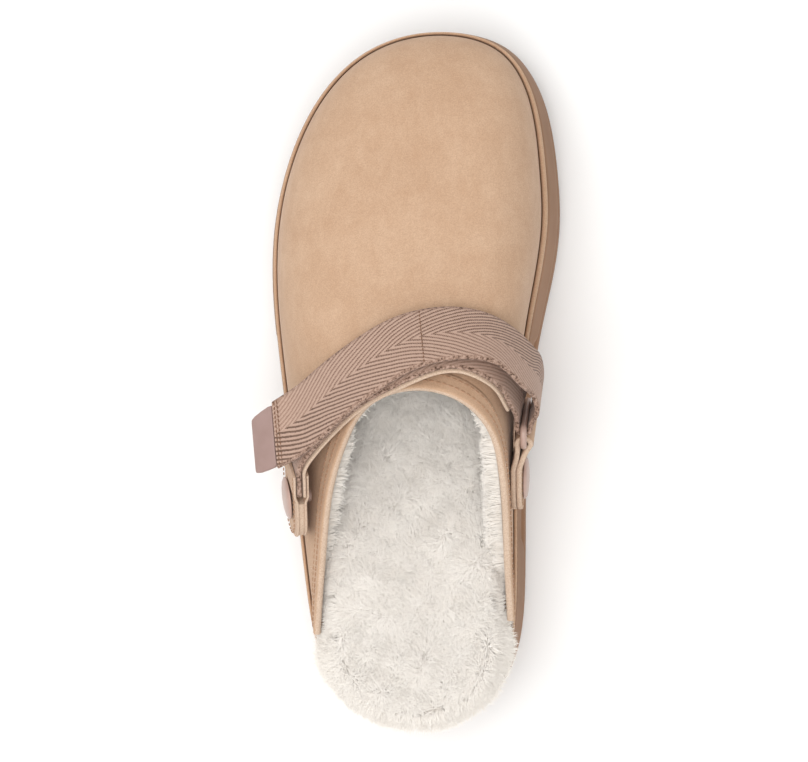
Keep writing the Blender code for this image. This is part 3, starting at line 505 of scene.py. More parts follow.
def inside_of_upper(round_share, height, gap):
    """Plan point on the upper's inside, less a gap, at a height above the sole's top edge."""
    curve = upper_curve(round_share)
    rise = curve[:, 2] - curve[0, 2] + CLEARANCE
    steps = np.maximum(np.diff(curve[:, 2]), 1e-6) / np.linalg.norm(np.diff(curve, axis=0), axis=1)
    here = min(int(np.searchsorted(rise, height)), len(steps) - 1)
    plan = np.array([np.interp(height, rise[: here + 2], curve[: here + 2, k]) for k in range(2)])
    normal = EDGE_NORMALS[int(round_share * len(EDGE_NORMALS)) % len(EDGE_NORMALS)]
    return plan + normal * (UPPER_WALL + gap) / max(steps[here], 0.45)


def insole_point(round_share, height, inset, spill):
    """Plan point of the insole's side: inside the upper, or spilling over the welt at the heel."""
    heel = edge_at(round_share, 1.0, INSOLE_GAP + inset - spill)[0]
    ends = (UPPER_REAR_OUTER - HEEL_OPENS_AFTER, UPPER_REAR_INNER + HEEL_OPENS_AFTER)
    if round_share < ends[0] - HEEL_WIDENS_OVER or round_share > ends[1] + HEEL_WIDENS_OVER:
        return heel
    clamped = min(max(round_share, UPPER_REAR_OUTER), UPPER_REAR_INNER)
    inside = inside_of_upper(clamped, height, INSOLE_GAP)
    normal = EDGE_NORMALS[int(round_share * len(EDGE_NORMALS)) % len(EDGE_NORMALS)]
    inside = inside + normal * inset
    if clamped != round_share:
        shift = inside - edge_at(clamped, 1.0)[0]
        inside = edge_at(round_share, 1.0)[0] + shift
    reach = max(ends[0] - round_share, round_share - ends[1], 0.0) / HEEL_WIDENS_OVER
    return inside + (heel - inside) * min(reach, 1.0)


def lock_relief(x, y):
    """Height of the pile's locks over its mean, between about -1 and 1."""
    turn = 2 * math.pi / LOCK_SIZE
    first = math.sin(turn * (0.93 * x + 0.31 * y)) * math.sin(turn * (0.84 * y - 0.36 * x) + 0.7)
    second = math.sin(turn * (0.48 * x - 0.71 * y) + 1.9)
    return 0.7 * first + 0.3 * second


def tab_frame(tree, rivet, side):
    """Where a tab sits: its point, the ways out, along the run and over its width, and its lean.

    side is -1 on the outer side of the foot and 1 on the inner side.
    """
    length_share, over_pile, climb, upright, gap, _ = rivet
    place = along(length_share)
    height = float(sole_top([place])[0]) + PILE_HEIGHT + over_pile + RIVET_BACK / 2
    start = Vector((side * BALL_WIDTH, place, height))
    point, normal, _, _ = tree.ray_cast(start, Vector((-side, 0, 0)))
    square = unit(np.array(normal) * (side * np.sign(normal[0])))
    out = unit(square * (1.0, 1.0, upright))
    lean = math.sqrt(max(1 - float(out @ square) ** 2, 0.0))
    level = unit(np.cross((0, 0, side), out))
    up = unit(np.cross(out, level) * side)
    if up[2] < 0:
        up = -up
    turn = math.radians(climb)
    run = unit(level * math.cos(turn) + up * math.sin(turn))
    over = unit(-level * math.sin(turn) + up * math.cos(turn))
    return np.array(point) + out * gap, out, run, over, lean


def placed(seat, along_run, outward, over):
    """A point in a tab's frame: distances along its run, outward and over its width."""
    point, out, run, width = seat[:4]
    return point + run * along_run + out * outward + width * over


def bend_at(along_run):
    """How far the inner tab stands off its straight line at a place along it."""
    return TAB_BEND_SLOPE * max(along_run - TAB_BEND_FROM, 0.0)


def bar_centre(seat):
    """Centre of the ring's rear bar."""
    return placed(seat, RING_DISTANCE, TAB_LAYER + bend_at(RING_DISTANCE), 0.0)


def edges_from_table(table):
    """Rear and front edge points of the strap, in metres."""
    scale = np.array([BALL_WIDTH, 1.0, INSTEP_HEIGHT])
    rows = np.array(table, float)
    rows[:, 1::3] = along(rows[:, 1::3])
    return rows[:, :3] * scale, rows[:, 3:] * scale


def width_pair(middle, width_way):
    """Rear and front edge points of the webbing about its middle."""
    reach = unit(width_way) * WEBBING_WIDTH / 2
    return middle + reach, middle - reach


def rest_on(tree, rear, front, gap):
    """Lifts each crossing of the band so that it clears what lies under it by a gap."""
    for i in range(len(rear)):
        lift = 0.0
        for part in np.linspace(0, 1, 9):
            point = rear[i] * (1 - part) + front[i] * part
            above = Vector(point) + Vector((0, 0, INSTEP_HEIGHT / 2))
            hit = tree.ray_cast(above, Vector((0, 0, -1)))
            if hit[0] is not None:
                lift = max(lift, hit[0][2] + gap / max(abs(hit[1][2]), 0.5) - point[2])
        if lift < WEBBING_WIDTH / 2:
            rear[i, 2] += lift
            front[i, 2] += lift
    return rear, front


def strap_stations(outer_frame, inner_frame, tree):
    """Rear and front edges of the strap's middle surface, with the turn round the ring's bar."""
    layer = (OUTER_TAB_THICKNESS + BACKING_THICKNESS + SKIN_GAP) / 2
    first = [placed(outer_frame, TAB_LENGTH * s, layer, 0.0) for s in (0.52, 0.72, 0.92, 1.10)]
    starts = [width_pair(middle, outer_frame[3]) for middle in first]
    _, out, run, over, _ = inner_frame
    bar = bar_centre(inner_frame) + run * (RING_REACH + RING_WIRE)
    reach = RING_WIRE / 2 + CLEARANCE + WEBBING_THICKNESS / 2
    turn = []
    for angle in np.radians(np.linspace(0, 180, 9)):
        middle = bar - out * reach * math.cos(angle) - run * reach * math.sin(angle)
        turn.append(width_pair(middle, over))
    under_rear, under_front = edges_from_table(STRAP_UNDER)
    under_gap = BACKING_THICKNESS + WEBBING_THICKNESS / 2 + 3 * CLEARANCE
    under_rear, under_front = rest_on(tree, under_rear, under_front, under_gap)
    over_rear, over_front = edges_from_table(STRAP_OVER)
    middle, way, _ = band_lines(under_rear, under_front, [4] * (len(under_rear) - 1))
    half_span = WEBBING_WIDTH * 0.508
    lower = [Vector(p) for m, w in zip(middle, way) for p in (m - w * half_span, m + w * half_span)]
    quads = [(i, i + 1, i + 3, i + 2) for i in range(0, len(lower) - 2, 2)]
    over_gap = WEBBING_THICKNESS + 2 * CLEARANCE
    resting = BVHTree.FromPolygons(lower, quads)
    over_rear[4:], over_front[4:] = rest_on(resting, over_rear[4:], over_front[4:], over_gap)
    rear = [pair[0] for pair in starts] + list(under_rear)
    front = [pair[1] for pair in starts] + list(under_front)
    turn_from = len(rear)
    rear += [pair[0] for pair in turn] + list(over_rear)
    front += [pair[1] for pair in turn] + list(over_front)
    return np.array(rear), np.array(front), turn_from, len(turn)


def band_lines(rear, front, counts):
    """Splines through the edges, sampled with a given count between each pair of stations."""
    middle = (rear + front) / 2
    knots = chord_knots(middle)
    at = spline(knots, np.hstack([rear, front]))
    places = [knots[0]]
    for i, count in enumerate(counts):
        places += list(np.linspace(knots[i], knots[i + 1], count + 1)[1:])
    both = at(np.array(places))
    rear, front = both[:, :3], both[:, 3:]
    middle = (rear + front) / 2
    way = unit_rows(rear - front)
    tangent = np.gradient(middle, axis=0)
    tangent = unit_rows(tangent - (tangent * way).sum(axis=1)[:, None] * way)
    return middle, way, np.cross(tangent, way)


def linear(hex_colour):
    """An sRGB hex colour as linear RGBA."""
    value = hex_colour.lstrip("#")
    parts = [int(value[i : i + 2], 16) / 255 for i in (0, 2, 4)]
    parts = [p / 12.92 if p <= 0.04045 else ((p + 0.055) / 1.055) ** 2.4 for p in parts]
    return (*parts, 1.0)


def feed(tree, node, inputs):
    """Sets a node's inputs from numbers, hex colours and sockets, or from nodes' first outputs."""
    for key, value in inputs.items():
        socket = node.inputs[key]
        if isinstance(value, bpy.types.Node):
            value = next(output for output in value.outputs if output.enabled)
        if isinstance(value, bpy.types.NodeSocket):
            tree.links.new(value, socket)
        elif isinstance(value, str) and value.startswith("#"):
            socket.default_value = linear(value)
        else:
            socket.default_value = value


def add_node(tree, kind, settings=None, inputs=None):
    """A node with its settings, its links and, on a colour ramp, its stops."""
    node = tree.nodes.new(kind)
    for key, value in (settings or {}).items():
        if key == "stops":
            elements = node.color_ramp.elements
            while len(elements) < len(value):
                elements.new(0.5)
            for element, (place, colour) in zip(elements, value):
                element.position, element.color = place, linear(colour)
        else:
            setattr(node, key, value)
    feed(tree, node, inputs or {})
    return node


# Kinds of node, and settings that several nodes share.
SHADER_MATH, VECTOR_MATH, CLAMP = "ShaderNodeMath", "ShaderNodeVectorMath", "ShaderNodeClamp"
NOISE, RAMP, MIX = "ShaderNodeTexNoise", "ShaderNodeValToRGB", "ShaderNodeMix"
ATTRIBUTE, RANDOM = "ShaderNodeAttribute", "FunctionNodeRandomValue"
ALIGN, STORE = "FunctionNodeAlignRotationToVector", "GeometryNodeStoreNamedAttribute"
SUM, DIFFERENCE = {"operation": "ADD"}, {"operation": "SUBTRACT"}
PRODUCT, PRODUCT_SUM = {"operation": "MULTIPLY"}, {"operation": "MULTIPLY_ADD"}
MAGNITUDE, SINE, SCALED = {"operation": "ABSOLUTE"}, {"operation": "SINE"}, {"operation": "SCALE"}
BLEND = {"data_type": "RGBA", "blend_type": "MIX"}
DARKEN = {"data_type": "RGBA", "blend_type": "MULTIPLY"}

# Noise patterns. Their scales are in features to the metre: 1000 is one to the millimetre.
NAP_CLOUDS = {"Scale": 46.0, "Detail": 5.0, "Roughness": 0.66, "Distortion": 0.3}
NAP_STROKES = {"Scale": 260.0, "Detail": 4.0, "Roughness": 0.7, "Distortion": 0.4}
SUEDE_FIBRES = {"Scale": 1900.0, "Detail": 3.0, "Roughness": 0.85}
FOAM_CLOUDS = {"Scale": 30.0, "Detail": 3.0, "Roughness": 0.55}
FOAM_PEBBLE = {"Scale": 1500.0, "Detail": 2.0, "Roughness": 0.5}
YARN_FUZZ = {"Scale": 1500.0, "Detail": 2.0, "Roughness": 0.6}
RIB_WANDER = {"Scale": 60.0, "Detail": 2.0, "Roughness": 0.55}
SELVEDGE_PEBBLE = {"Scale": 950.0, "Detail": 3.0, "Roughness": 0.75}
PLUSH_CLOUDS = {"Scale": 100.0, "Detail": 2.0, "Roughness": 0.55}
COATING_CLOUDS = {"Scale": 120.0, "Detail": 2.0, "Roughness": 0.55}


def new_material(name, finish):
    """A material with its node tree, its shader and the Object coordinates."""
    material = bpy.data.materials.new(name)
    material.use_nodes = True
    tree = material.node_tree
    shader = tree.nodes["Principled BSDF"]
    feed(tree, shader, {"IOR": 1.45, "Sheen Roughness": 0.45, **finish})
    return material, tree, shader, add_node(tree, "ShaderNodeTexCoord").outputs["Object"]


def finish_shader(tree, shader, colour, height, distance, strength):
    """Gives a shader its colour, and the bump of a pattern whose height of 1 is this distance."""
    depth = {"Height": height, "Distance": distance, "Strength": strength}
    bump = add_node(tree, "ShaderNodeBump", None, depth)
    feed(tree, shader, {"Base Color": colour, "Normal": bump})


def suede_material(name, light, middle, dark):
    """Brushed cow suede: matt, cloudy where the nap lies different ways, pale on a cut edge."""
    finish = {"Roughness": 0.97, "Sheen Weight": 0.10, "Specular IOR Level": 0.25}
    material, tree, shader, place = new_material(name, finish)
    drawn_out = {"Vector": place, "Scale": (1.0, 0.45, 1.0)}
    drawn_out = add_node(tree, "ShaderNodeMapping", None, drawn_out)
    clouds = add_node(tree, NOISE, None, {**NAP_CLOUDS, "Vector": place})
    brushed = add_node(tree, NOISE, None, {**NAP_STROKES, "Vector": drawn_out})
    grain = add_node(tree, NOISE, None, {**SUEDE_FIBRES, "Vector": place})
    strokes = add_node(tree, SHADER_MATH, PRODUCT, {0: brushed, 1: 0.38})
    nap = add_node(tree, SHADER_MATH, PRODUCT_SUM, {0: clouds, 1: 0.62, 2: strokes})
    colour = add_node(
        tree, RAMP, {"stops": ((0.28, dark), (0.50, middle), (0.76, light))}, {"Fac": nap}
    )
    speck = add_node(tree, RAMP, {"stops": ((0.30, "#a89c92"), (0.64, "#ffffff"))}, {"Fac": grain})
    colour = add_node(tree, MIX, DARKEN, {0: 0.40, 6: colour, 7: speck})
    raw = add_node(tree, ATTRIBUTE, {"attribute_name": "raw"}).outputs["Fac"]
    frayed = add_node(tree, SHADER_MATH, PRODUCT_SUM, {0: grain, 1: 2.2, 2: -0.55})
    frayed = add_node(tree, SHADER_MATH, PRODUCT, {0: raw, 1: frayed})
    colour = add_node(tree, MIX, BLEND, {0: frayed, 6: colour, 7: "#dcc7b3"})
    height = add_node(tree, SHADER_MATH, PRODUCT_SUM, {0: brushed, 1: 1.2, 2: grain})
    height = add_node(tree, SHADER_MATH, PRODUCT_SUM, {0: frayed, 1: 1.5, 2: height})
    finish_shader(tree, shader, colour, height, 0.00011, 0.75)
    return material


def foam_material(name, light, dark):
    """Moulded EVA foam: matt and even, with a faint pebbled skin from the mould."""
    finish = {"Roughness": 0.72, "Specular IOR Level": 0.35}
    material, tree, shader, place = new_material(name, finish)
    clouds = add_node(tree, NOISE, None, {**FOAM_CLOUDS, "Vector": place})
    pebble = add_node(tree, NOISE, None, {**FOAM_PEBBLE, "Vector": place})
    colour = add_node(tree, RAMP, {"stops": ((0.20, dark), (0.75, light))}, {"Fac": clouds})
    finish_shader(tree, shader, colour, pebble, 0.00012, 0.55)
    return material


def waves(tree, way, length=1.0):
    """Even waves of a length, between 0 and 1, along a distance."""
    turned = add_node(tree, SHADER_MATH, PRODUCT, {0: way, 1: 2 * math.pi / length})
    sine = add_node(tree, SHADER_MATH, SINE, {0: turned})
    return add_node(tree, SHADER_MATH, PRODUCT_SUM, {0: sine, 1: 0.5, 2: 0.5})


def webbing_material(name, light, middle, dark, pitch, lean, length):
    """Herringbone polyester webbing: thin gaps, broken into dots by the yarn, between ribs.

    The colour follows the weave's height, so the gaps carry painted shade. The ribs lean to either
    side of the middle. The painted shade in the gaps is clear on the front band near the ring and
    on the rear band near the free end, and fades between. pitch and length are in metres.
    """
    finish = {"Roughness": 0.78, "Sheen Weight": 0.10, "Specular IOR Level": 0.30}
    material, tree, shader, place = new_material(name, finish)
    web = add_node(tree, "ShaderNodeUVMap", {"uv_map": "web"})
    split = add_node(tree, "ShaderNodeSeparateXYZ", None, {"Vector": web})
    run, side = split.outputs["X"], split.outputs["Y"]
    off = add_node(tree, SHADER_MATH, MAGNITUDE, {0: side})
    fuzz = add_node(tree, NOISE, None, {**YARN_FUZZ, "Vector": place})
    wander = add_node(tree, NOISE, None, {**RIB_WANDER, "Vector": place})
    drift = add_node(tree, SHADER_MATH, PRODUCT, {0: wander, 1: 0.9})
    wobble = add_node(tree, SHADER_MATH, PRODUCT_SUM, {0: fuzz, 1: 0.35, 2: drift})
    across = add_node(tree, SHADER_MATH, PRODUCT, {0: off, 1: math.cos(lean) / pitch})
    phase = add_node(tree, SHADER_MATH, PRODUCT_SUM, {0: run, 1: math.sin(lean) / pitch, 2: across})
    rib = waves(tree, add_node(tree, SHADER_MATH, SUM, {0: phase, 1: wobble}))
    slant = add_node(tree, SHADER_MATH, PRODUCT_SUM, {0: off, 1: -YARN_SLANT, 2: run})
    yarn = waves(tree, slant, YARN_PITCH)
    left = add_node(tree, SHADER_MATH, DIFFERENCE, {0: length, 1: run})
    left = add_node(tree, SHADER_MATH, PRODUCT, {0: left, 1: 1 / FADE_LENGTH})
    near_ring = add_node(tree, CLAMP, None, {"Value": left})
    # Where the painted shade in the gaps is clear: the front band near the ring, the rear band near
    # the free end.
    rear_band = add_node(tree, SHADER_MATH, {"operation": "GREATER_THAN"}, {0: side, 1: 0.0})
    groove_shade_band = add_node(tree, SHADER_MATH, DIFFERENCE, {0: rear_band, 1: near_ring})
    groove_shade_band = add_node(tree, SHADER_MATH, MAGNITUDE, {0: groove_shade_band})
    clear = add_node(tree, SHADER_MATH, PRODUCT_SUM, {0: groove_shade_band, 1: 1 - FADED, 2: FADED})
    past_weave = add_node(tree, SHADER_MATH, DIFFERENCE, {0: off, 1: WEBBING_WIDTH * 0.44})
    past_weave = add_node(tree, SHADER_MATH, PRODUCT, {0: past_weave, 1: 1 / SELVEDGE_START})
    selvedge = add_node(tree, CLAMP, None, {"Value": past_weave})
    pebble = add_node(tree, NOISE, None, {**SELVEDGE_PEBBLE, "Vector": place})
    pebble = add_node(tree, SHADER_MATH, PRODUCT_SUM, {0: pebble, 1: 3.0, 2: -1.0})
    pebble = add_node(tree, SHADER_MATH, PRODUCT, {0: pebble, 1: selvedge})
    # A gap opens where a rib falls under 0.62, is full under 0.12, and its dots are the yarn's. It
    # lowers the bump and paints shade into the colour.
    gap = add_node(tree, SHADER_MATH, PRODUCT_SUM, {0: rib, 1: -2.0, 2: 1.25})
    gap = add_node(tree, CLAMP, None, {"Value": gap})
    broken = add_node(tree, SHADER_MATH, PRODUCT_SUM, {0: yarn, 1: 0.60, 2: 0.40})
    gap = add_node(tree, SHADER_MATH, PRODUCT, {0: gap, 1: broken})
    gap = add_node(tree, SHADER_MATH, PRODUCT, {0: gap, 1: clear})
    woven = add_node(tree, SHADER_MATH, DIFFERENCE, {0: 0.80, 1: gap})
    kept = add_node(tree, SHADER_MATH, DIFFERENCE, {0: 1.0, 1: selvedge})
    height = add_node(tree, SHADER_MATH, PRODUCT_SUM, {0: woven, 1: kept, 2: pebble})
    lowered = add_node(tree, SHADER_MATH, DIFFERENCE, {0: height, 1: 0.16})
    # Painted shade: the colour follows the height, darker in the gaps and in the selvedge's pits.
    tone = add_node(tree, SHADER_MATH, PRODUCT_SUM, {0: fuzz, 1: 0.36, 2: lowered})
    colour = add_node(
        tree, RAMP, {"stops": ((0.16, dark), (0.48, middle), (0.92, light))}, {"Fac": tone}
    )
    finish_shader(tree, shader, colour, height, 0.00030, 0.8)
    return material


def pile_material(name, root, middle, tip):
    """Wool plush: soft and matt, creamier with painted shade deep between the locks than on the
    tips.
    """
    finish = {"Roughness": 0.95, "Sheen Weight": 0.25, "Specular IOR Level": 0.15}
    material, tree, shader, place = new_material(name, finish)
    strand = add_node(tree, ATTRIBUTE, {"attribute_name": "strand"}).outputs["Fac"]
    height = add_node(tree, ATTRIBUTE, {"attribute_name": "height"}).outputs["Fac"]
    clouds = add_node(tree, NOISE, None, {**PLUSH_CLOUDS, "Vector": place})
    clouds = add_node(tree, SHADER_MATH, PRODUCT, {0: clouds, 1: 0.70})
    # Painted shade: the colour is deeper lower down each strand, by its height.
    tone = add_node(tree, SHADER_MATH, PRODUCT_SUM, {0: height, 1: 0.45, 2: clouds})
    tone = add_node(tree, SHADER_MATH, DIFFERENCE, {0: tone, 1: 0.14})
    tone = add_node(tree, SHADER_MATH, PRODUCT_SUM, {0: strand, 1: 0.16, 2: tone})
    colour = add_node(
        tree, RAMP, {"stops": ((0.12, root), (0.52, middle), (0.88, tip))}, {"Fac": tone}
    )
    feed(tree, shader, {"Base Color": colour})
    return material


def plain_material(name, colour, roughness, grain_scale, grain_height, coat=0.0):
    """A moulded, coated or spun finish with a fine even grain."""
    finish = {"Roughness": roughness, "Coat Weight": coat}
    material, tree, shader, place = new_material(name, finish)
    tint = add_node(tree, NOISE, None, {**COATING_CLOUDS, "Vector": place})
    shade = add_node(tree, RAMP, {"stops": ((0.3, "#e6e2de"), (0.7, "#ffffff"))}, {"Fac": tint})
    tinted = add_node(tree, MIX, DARKEN, {0: 0.6, 6: colour, 7: shade})
    grain = {**COATING_CLOUDS, "Scale": grain_scale, "Vector": place}
    grain = add_node(tree, NOISE, None, grain)
    finish_shader(tree, shader, tinted, grain, grain_height, 0.5)
    return material


def linked(name, mesh):
    """A new object for a mesh, in the scene."""
    obj = bpy.data.objects.new(name, mesh)
    bpy.context.scene.collection.objects.link(obj)
    return obj


def mesh_object(name, verts, faces, material, smooth_angle=50.0, recalculate=True):
    mesh = bpy.data.meshes.new(name)
    mesh.from_pydata([tuple(map(float, v)) for v in verts], [], faces)
    if recalculate:
        work = bmesh.new()
        work.from_mesh(mesh)
        bmesh.ops.recalc_face_normals(work, faces=work.faces)
        work.to_mesh(mesh)
        work.free()
    mesh.shade_smooth()
    mesh.set_sharp_from_angle(angle=math.radians(smooth_angle))
    if material:
        mesh.materials.append(material)
    return linked(name, mesh)


def mark_points(obj, name, marks):
    """Stores a number at each point of a mesh, for its material to read."""
    obj.data.attributes.new(name, "FLOAT", "POINT").data.foreach_set("value", marks)


def mark_raw(obj, period, cut):
    """Marks cut edges, so that the suede shows pale fibres there."""
    mark_points(obj, "raw", [float(i % period in cut) for i in range(len(obj.data.vertices))])


def placed_on(obj, slot, *nodes):
    """Ties a finished piece to the part."""
    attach(obj, "root")
    if nodes:
        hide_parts(*nodes)
    return obj


def grid_faces(rows, columns):
    """Quads of a grid of points laid row by row."""
    return [
        (a, a + 1, a + columns + 1, a + columns)
        for i in range(rows - 1)
        for a in range(i * columns, (i + 1) * columns - 1)
    ]


def loft_faces(rings, size, closed=False, capped=False):
    """Quads between rings of points laid one after another, and the two ends if capped."""
    faces = []
    for i in range(rings if closed else rings - 1):
        a, b = i * size, (i + 1) % rings * size
        faces += [(a + k, a + (k + 1) % size, b + (k + 1) % size, b + k) for k in range(size)]
    if capped:
        last = size * (rings - 1)
        faces += [tuple(range(size))[::-1], tuple(range(last, last + size))]
    return faces


def node_tree(name, sockets):
    """A geometry node group with named inputs."""
    tree = bpy.data.node_groups.new(name, "GeometryNodeTree")
    tree.interface.new_socket("Geometry", in_out="INPUT", socket_type="NodeSocketGeometry")
    for label, kind, default in sockets:
        socket = tree.interface.new_socket(label, in_out="INPUT", socket_type="NodeSocket" + kind)
        if default is not None:
            socket.default_value = default
    tree.interface.new_socket("Geometry", in_out="OUTPUT", socket_type="NodeSocketGeometry")
    return tree, add_node(tree, "NodeGroupInput").outputs


def end_tree(tree, geometry, material):
    """Gives the made mesh its material and hands it out."""
    painted = {"Geometry": geometry, "Material": material}
    painted = add_node(tree, "GeometryNodeSetMaterial", None, painted)
    add_node(tree, "NodeGroupOutput", None, {"Geometry": painted})
    return tree


def evaluated(obj):
    """The plain mesh that an object's modifiers make, which are then removed."""
    bpy.context.view_layer.update()
    graph = bpy.context.evaluated_depsgraph_get()
    mesh = bpy.data.meshes.new_from_object(obj.evaluated_get(graph))
    obj.modifiers.clear()
    return mesh


def applied(base, tree, values, name):
    """The mesh that a node group makes from a base, which is then removed, as a new object."""
    modifier = base.modifiers.new(tree.name, "NODES")
    modifier.node_group = tree
    for item in tree.interface.items_tree:
        if item.item_type == "SOCKET" and item.in_out == "INPUT" and item.name in values:
            modifier[item.identifier] = values[item.name]
    mesh = evaluated(base)
    mesh.name = name
    bpy.data.objects.remove(base)
    return linked(name, mesh)


def stitch_tree():
    """Short padded stitches at an even pitch along a path."""
    sockets = (
        ("Pitch", "Float", 0.0025),
        ("Length", "Float", 0.0018),
        ("Thread", "Float", 0.0005),
        ("Material", "Material", None),
    )
    tree, given = node_tree("stitch_row", sockets)
    curve = add_node(tree, "GeometryNodeMeshToCurve", None, {"Mesh": given["Geometry"]})
    spaced = {"Curve": curve, "Length": given["Pitch"]}
    points = add_node(tree, "GeometryNodeCurveToPoints", {"mode": "LENGTH"}, spaced)
    half = add_node(tree, SHADER_MATH, PRODUCT, {0: given["Thread"], 1: 0.5})
    long_half = add_node(tree, SHADER_MATH, PRODUCT, {0: given["Length"], 1: 0.5})
    size = add_node(tree, "ShaderNodeCombineXYZ", None, {"X": half, "Y": half, "Z": long_half})
    shape = {"Segments": 6, "Rings": 5, "Radius": 1.0}
    bead = add_node(tree, "GeometryNodeMeshUVSphere", None, shape)
    rotation = points.outputs["Rotation"]
    sewn = {"Points": points, "Instance": bead, "Rotation": rotation, "Scale": size}
    stitches = add_node(tree, "GeometryNodeInstanceOnPoints", None, sewn)
    real = add_node(tree, "GeometryNodeRealizeInstances", None, {"Geometry": stitches})
    return end_tree(tree, real, given["Material"])


def stitched(name, paths, seam, material, slot):
    """Rows of stitches along paths of points, as one piece."""
    verts, edges = [], []
    for path in paths:
        start = len(verts)
        verts += [tuple(map(float, p)) for p in path]
        edges += [(start + i, start + i + 1) for i in range(len(path) - 1)]
    mesh = bpy.data.meshes.new(name + "_path")
    mesh.from_pydata(verts, edges, [])
    values = {**dict(zip(("Pitch", "Length", "Thread"), seam)), "Material": material}
    made = applied(linked(name + "_path", mesh), stitch_tree(), values, name)
    made.data.shade_smooth()
    placed_on(made, slot)


def pile_tree():
    """Bent strands on a surface, leaning in locks."""
    sockets = (
        ("Strand", "Object", None),
        ("Density", "Float", 1.0e6),
        ("Lean", "Float", 0.6),
        ("Spread", "Float", 1.0),
        ("Rise", "Float", 0.0),
        ("Lock size", "Float", 0.010),
        ("Shortest", "Float", 0.7),
        ("Longest", "Float", 1.1),
        ("Seed", "Int", 3),
        ("Material", "Material", None),
    )
    tree, given = node_tree("pile", sockets)
    seed = given["Seed"]
    sown = {"Mesh": given["Geometry"], "Density": given["Density"], "Seed": seed}
    roots = add_node(tree, "GeometryNodeDistributePointsOnFaces", None, sown)

    # Each strand stands off the surface, rises, and leans with its lock and a little by itself.
    scale = add_node(tree, SHADER_MATH, {"operation": "DIVIDE"}, {0: 1.0, 1: given["Lock size"]})
    locks = {"Scale": scale, "Detail": 1.5, "Roughness": 0.5}
    flow = add_node(tree, NOISE, {"noise_dimensions": "3D"}, locks).outputs["Color"]
    centred = add_node(tree, VECTOR_MATH, DIFFERENCE, {0: flow, 1: (0.5, 0.5, 0.5)})
    stray = {"Min": (-STRAY,) * 3, "Max": (STRAY,) * 3, "Seed": seed}
    stray = add_node(tree, RANDOM, {"data_type": "FLOAT_VECTOR"}, stray)
    centred = add_node(tree, VECTOR_MATH, SUM, {0: centred, 1: stray})
    leaning = add_node(tree, VECTOR_MATH, SCALED, {0: centred, "Scale": given["Lean"]})
    rise = add_node(tree, "ShaderNodeCombineXYZ", None, {"Z": given["Rise"]})
    outward = {0: roots.outputs["Normal"], "Scale": given["Spread"]}
    fanned = add_node(tree, VECTOR_MATH, SCALED, outward)
    raised = add_node(tree, VECTOR_MATH, SUM, {0: fanned, 1: rise})
    way = add_node(tree, VECTOR_MATH, SUM, {0: raised, 1: leaning})

    # Its flat side and its bend droop, so that light from above falls on its face.
    upright = add_node(tree, ALIGN, {"axis": "Z"}, {"Vector": way})
    down = {"Rotation": upright, "Vector": (0.0, 0.0, -1.0)}
    drooping = add_node(tree, ALIGN, {"axis": "Y", "pivot_axis": "Z"}, down)
    spin = {"Min": -STRAND_SPIN, "Max": STRAND_SPIN, "Seed": 11}
    spin = add_node(tree, RANDOM, {"data_type": "FLOAT"}, spin)
    about = {"Axis": (0.0, 0.0, 1.0), "Angle": spin}
    turn = add_node(tree, "FunctionNodeAxisAngleToRotation", None, about)
    turned = {"Rotation": drooping, "Rotate By": turn}
    rotation = add_node(tree, "FunctionNodeRotateRotation", {"rotation_space": "LOCAL"}, turned)
    size = {"Min": given["Shortest"], "Max": given["Longest"], "Seed": 5}
    size = add_node(tree, RANDOM, {"data_type": "FLOAT"}, size)
    hair = {"Object": given["Strand"]}
    hair = add_node(tree, "GeometryNodeObjectInfo", {"transform_space": "ORIGINAL"}, hair)
    grown = {"Points": roots, "Instance": hair.outputs["Geometry"]}
    grown = {**grown, "Rotation": rotation, "Scale": size}
    strands = add_node(tree, "GeometryNodeInstanceOnPoints", None, grown)

    # A random number tints each strand, and one soft normal over all of it shades it as wool.
    tint = add_node(tree, RANDOM, {"data_type": "FLOAT"}, {"Min": 0.0, "Max": 1.0, "Seed": 7})
    stored = {"Geometry": strands, "Name": "strand", "Value": tint}
    strands = add_node(tree, STORE, {"data_type": "FLOAT", "domain": "INSTANCE"}, stored)
    facing = {0: way, 1: (0.60, 0.60, 0.3), 2: (0.0, 0.0, 1.0)}
    facing = add_node(tree, VECTOR_MATH, PRODUCT_SUM, facing)
    stored = {"Geometry": strands, "Name": "facing", "Value": facing}
    strands = add_node(tree, STORE, {"data_type": "FLOAT_VECTOR", "domain": "INSTANCE"}, stored)
    real = add_node(tree, "GeometryNodeRealizeInstances", None, {"Geometry": strands})
    kind = {"data_type": "FLOAT_VECTOR"}
    facing = add_node(tree, "GeometryNodeInputNamedAttribute", kind, {"Name": "facing"})
    normals = {"Mesh": real, "Custom Normal": facing}
    kind = {"mode": "FREE", "domain": "POINT"}
    shaded = add_node(tree, "GeometryNodeSetMeshNormal", kind, normals)
    return end_tree(tree, shaded, given["Material"])


def strand_object(length, bend):
    """One flat tapering strand, bent over towards its tip."""
    rows = 2
    verts, heights = [], []
    for k in range(rows):
        part = k / rows
        half = STRAND_WIDTH / 2 * (1 - 0.35 * part)
        out = bend * length * part**2
        verts += [(-half, out, length * part), (half, out, length * part)]
        heights += [part, part]
    verts.append((0.0, bend * length, length * (1 - 0.25 * bend)))
    heights.append(1.0)
    mesh = bpy.data.meshes.new("strand_shape")
    mesh.from_pydata(verts, [], [(0, 1, 3, 2), (2, 3, 4)])
    mesh.shade_smooth()
    obj = linked("strand_shape", mesh)
    # Its height from root to tip sets the plush's painted shade, deepest at the root.
    mark_points(obj, "height", heights)
    return obj


def pile_piece(name, base, length, material, **values):
    """Strands on a base surface, which is then removed."""
    strand = strand_object(length, STRAND_BEND)
    values = {"Strand": strand, "Material": material, **values}
    made = applied(base, pile_tree(), values, name)
    bpy.data.objects.remove(strand)
    return placed_on(made, "pile")
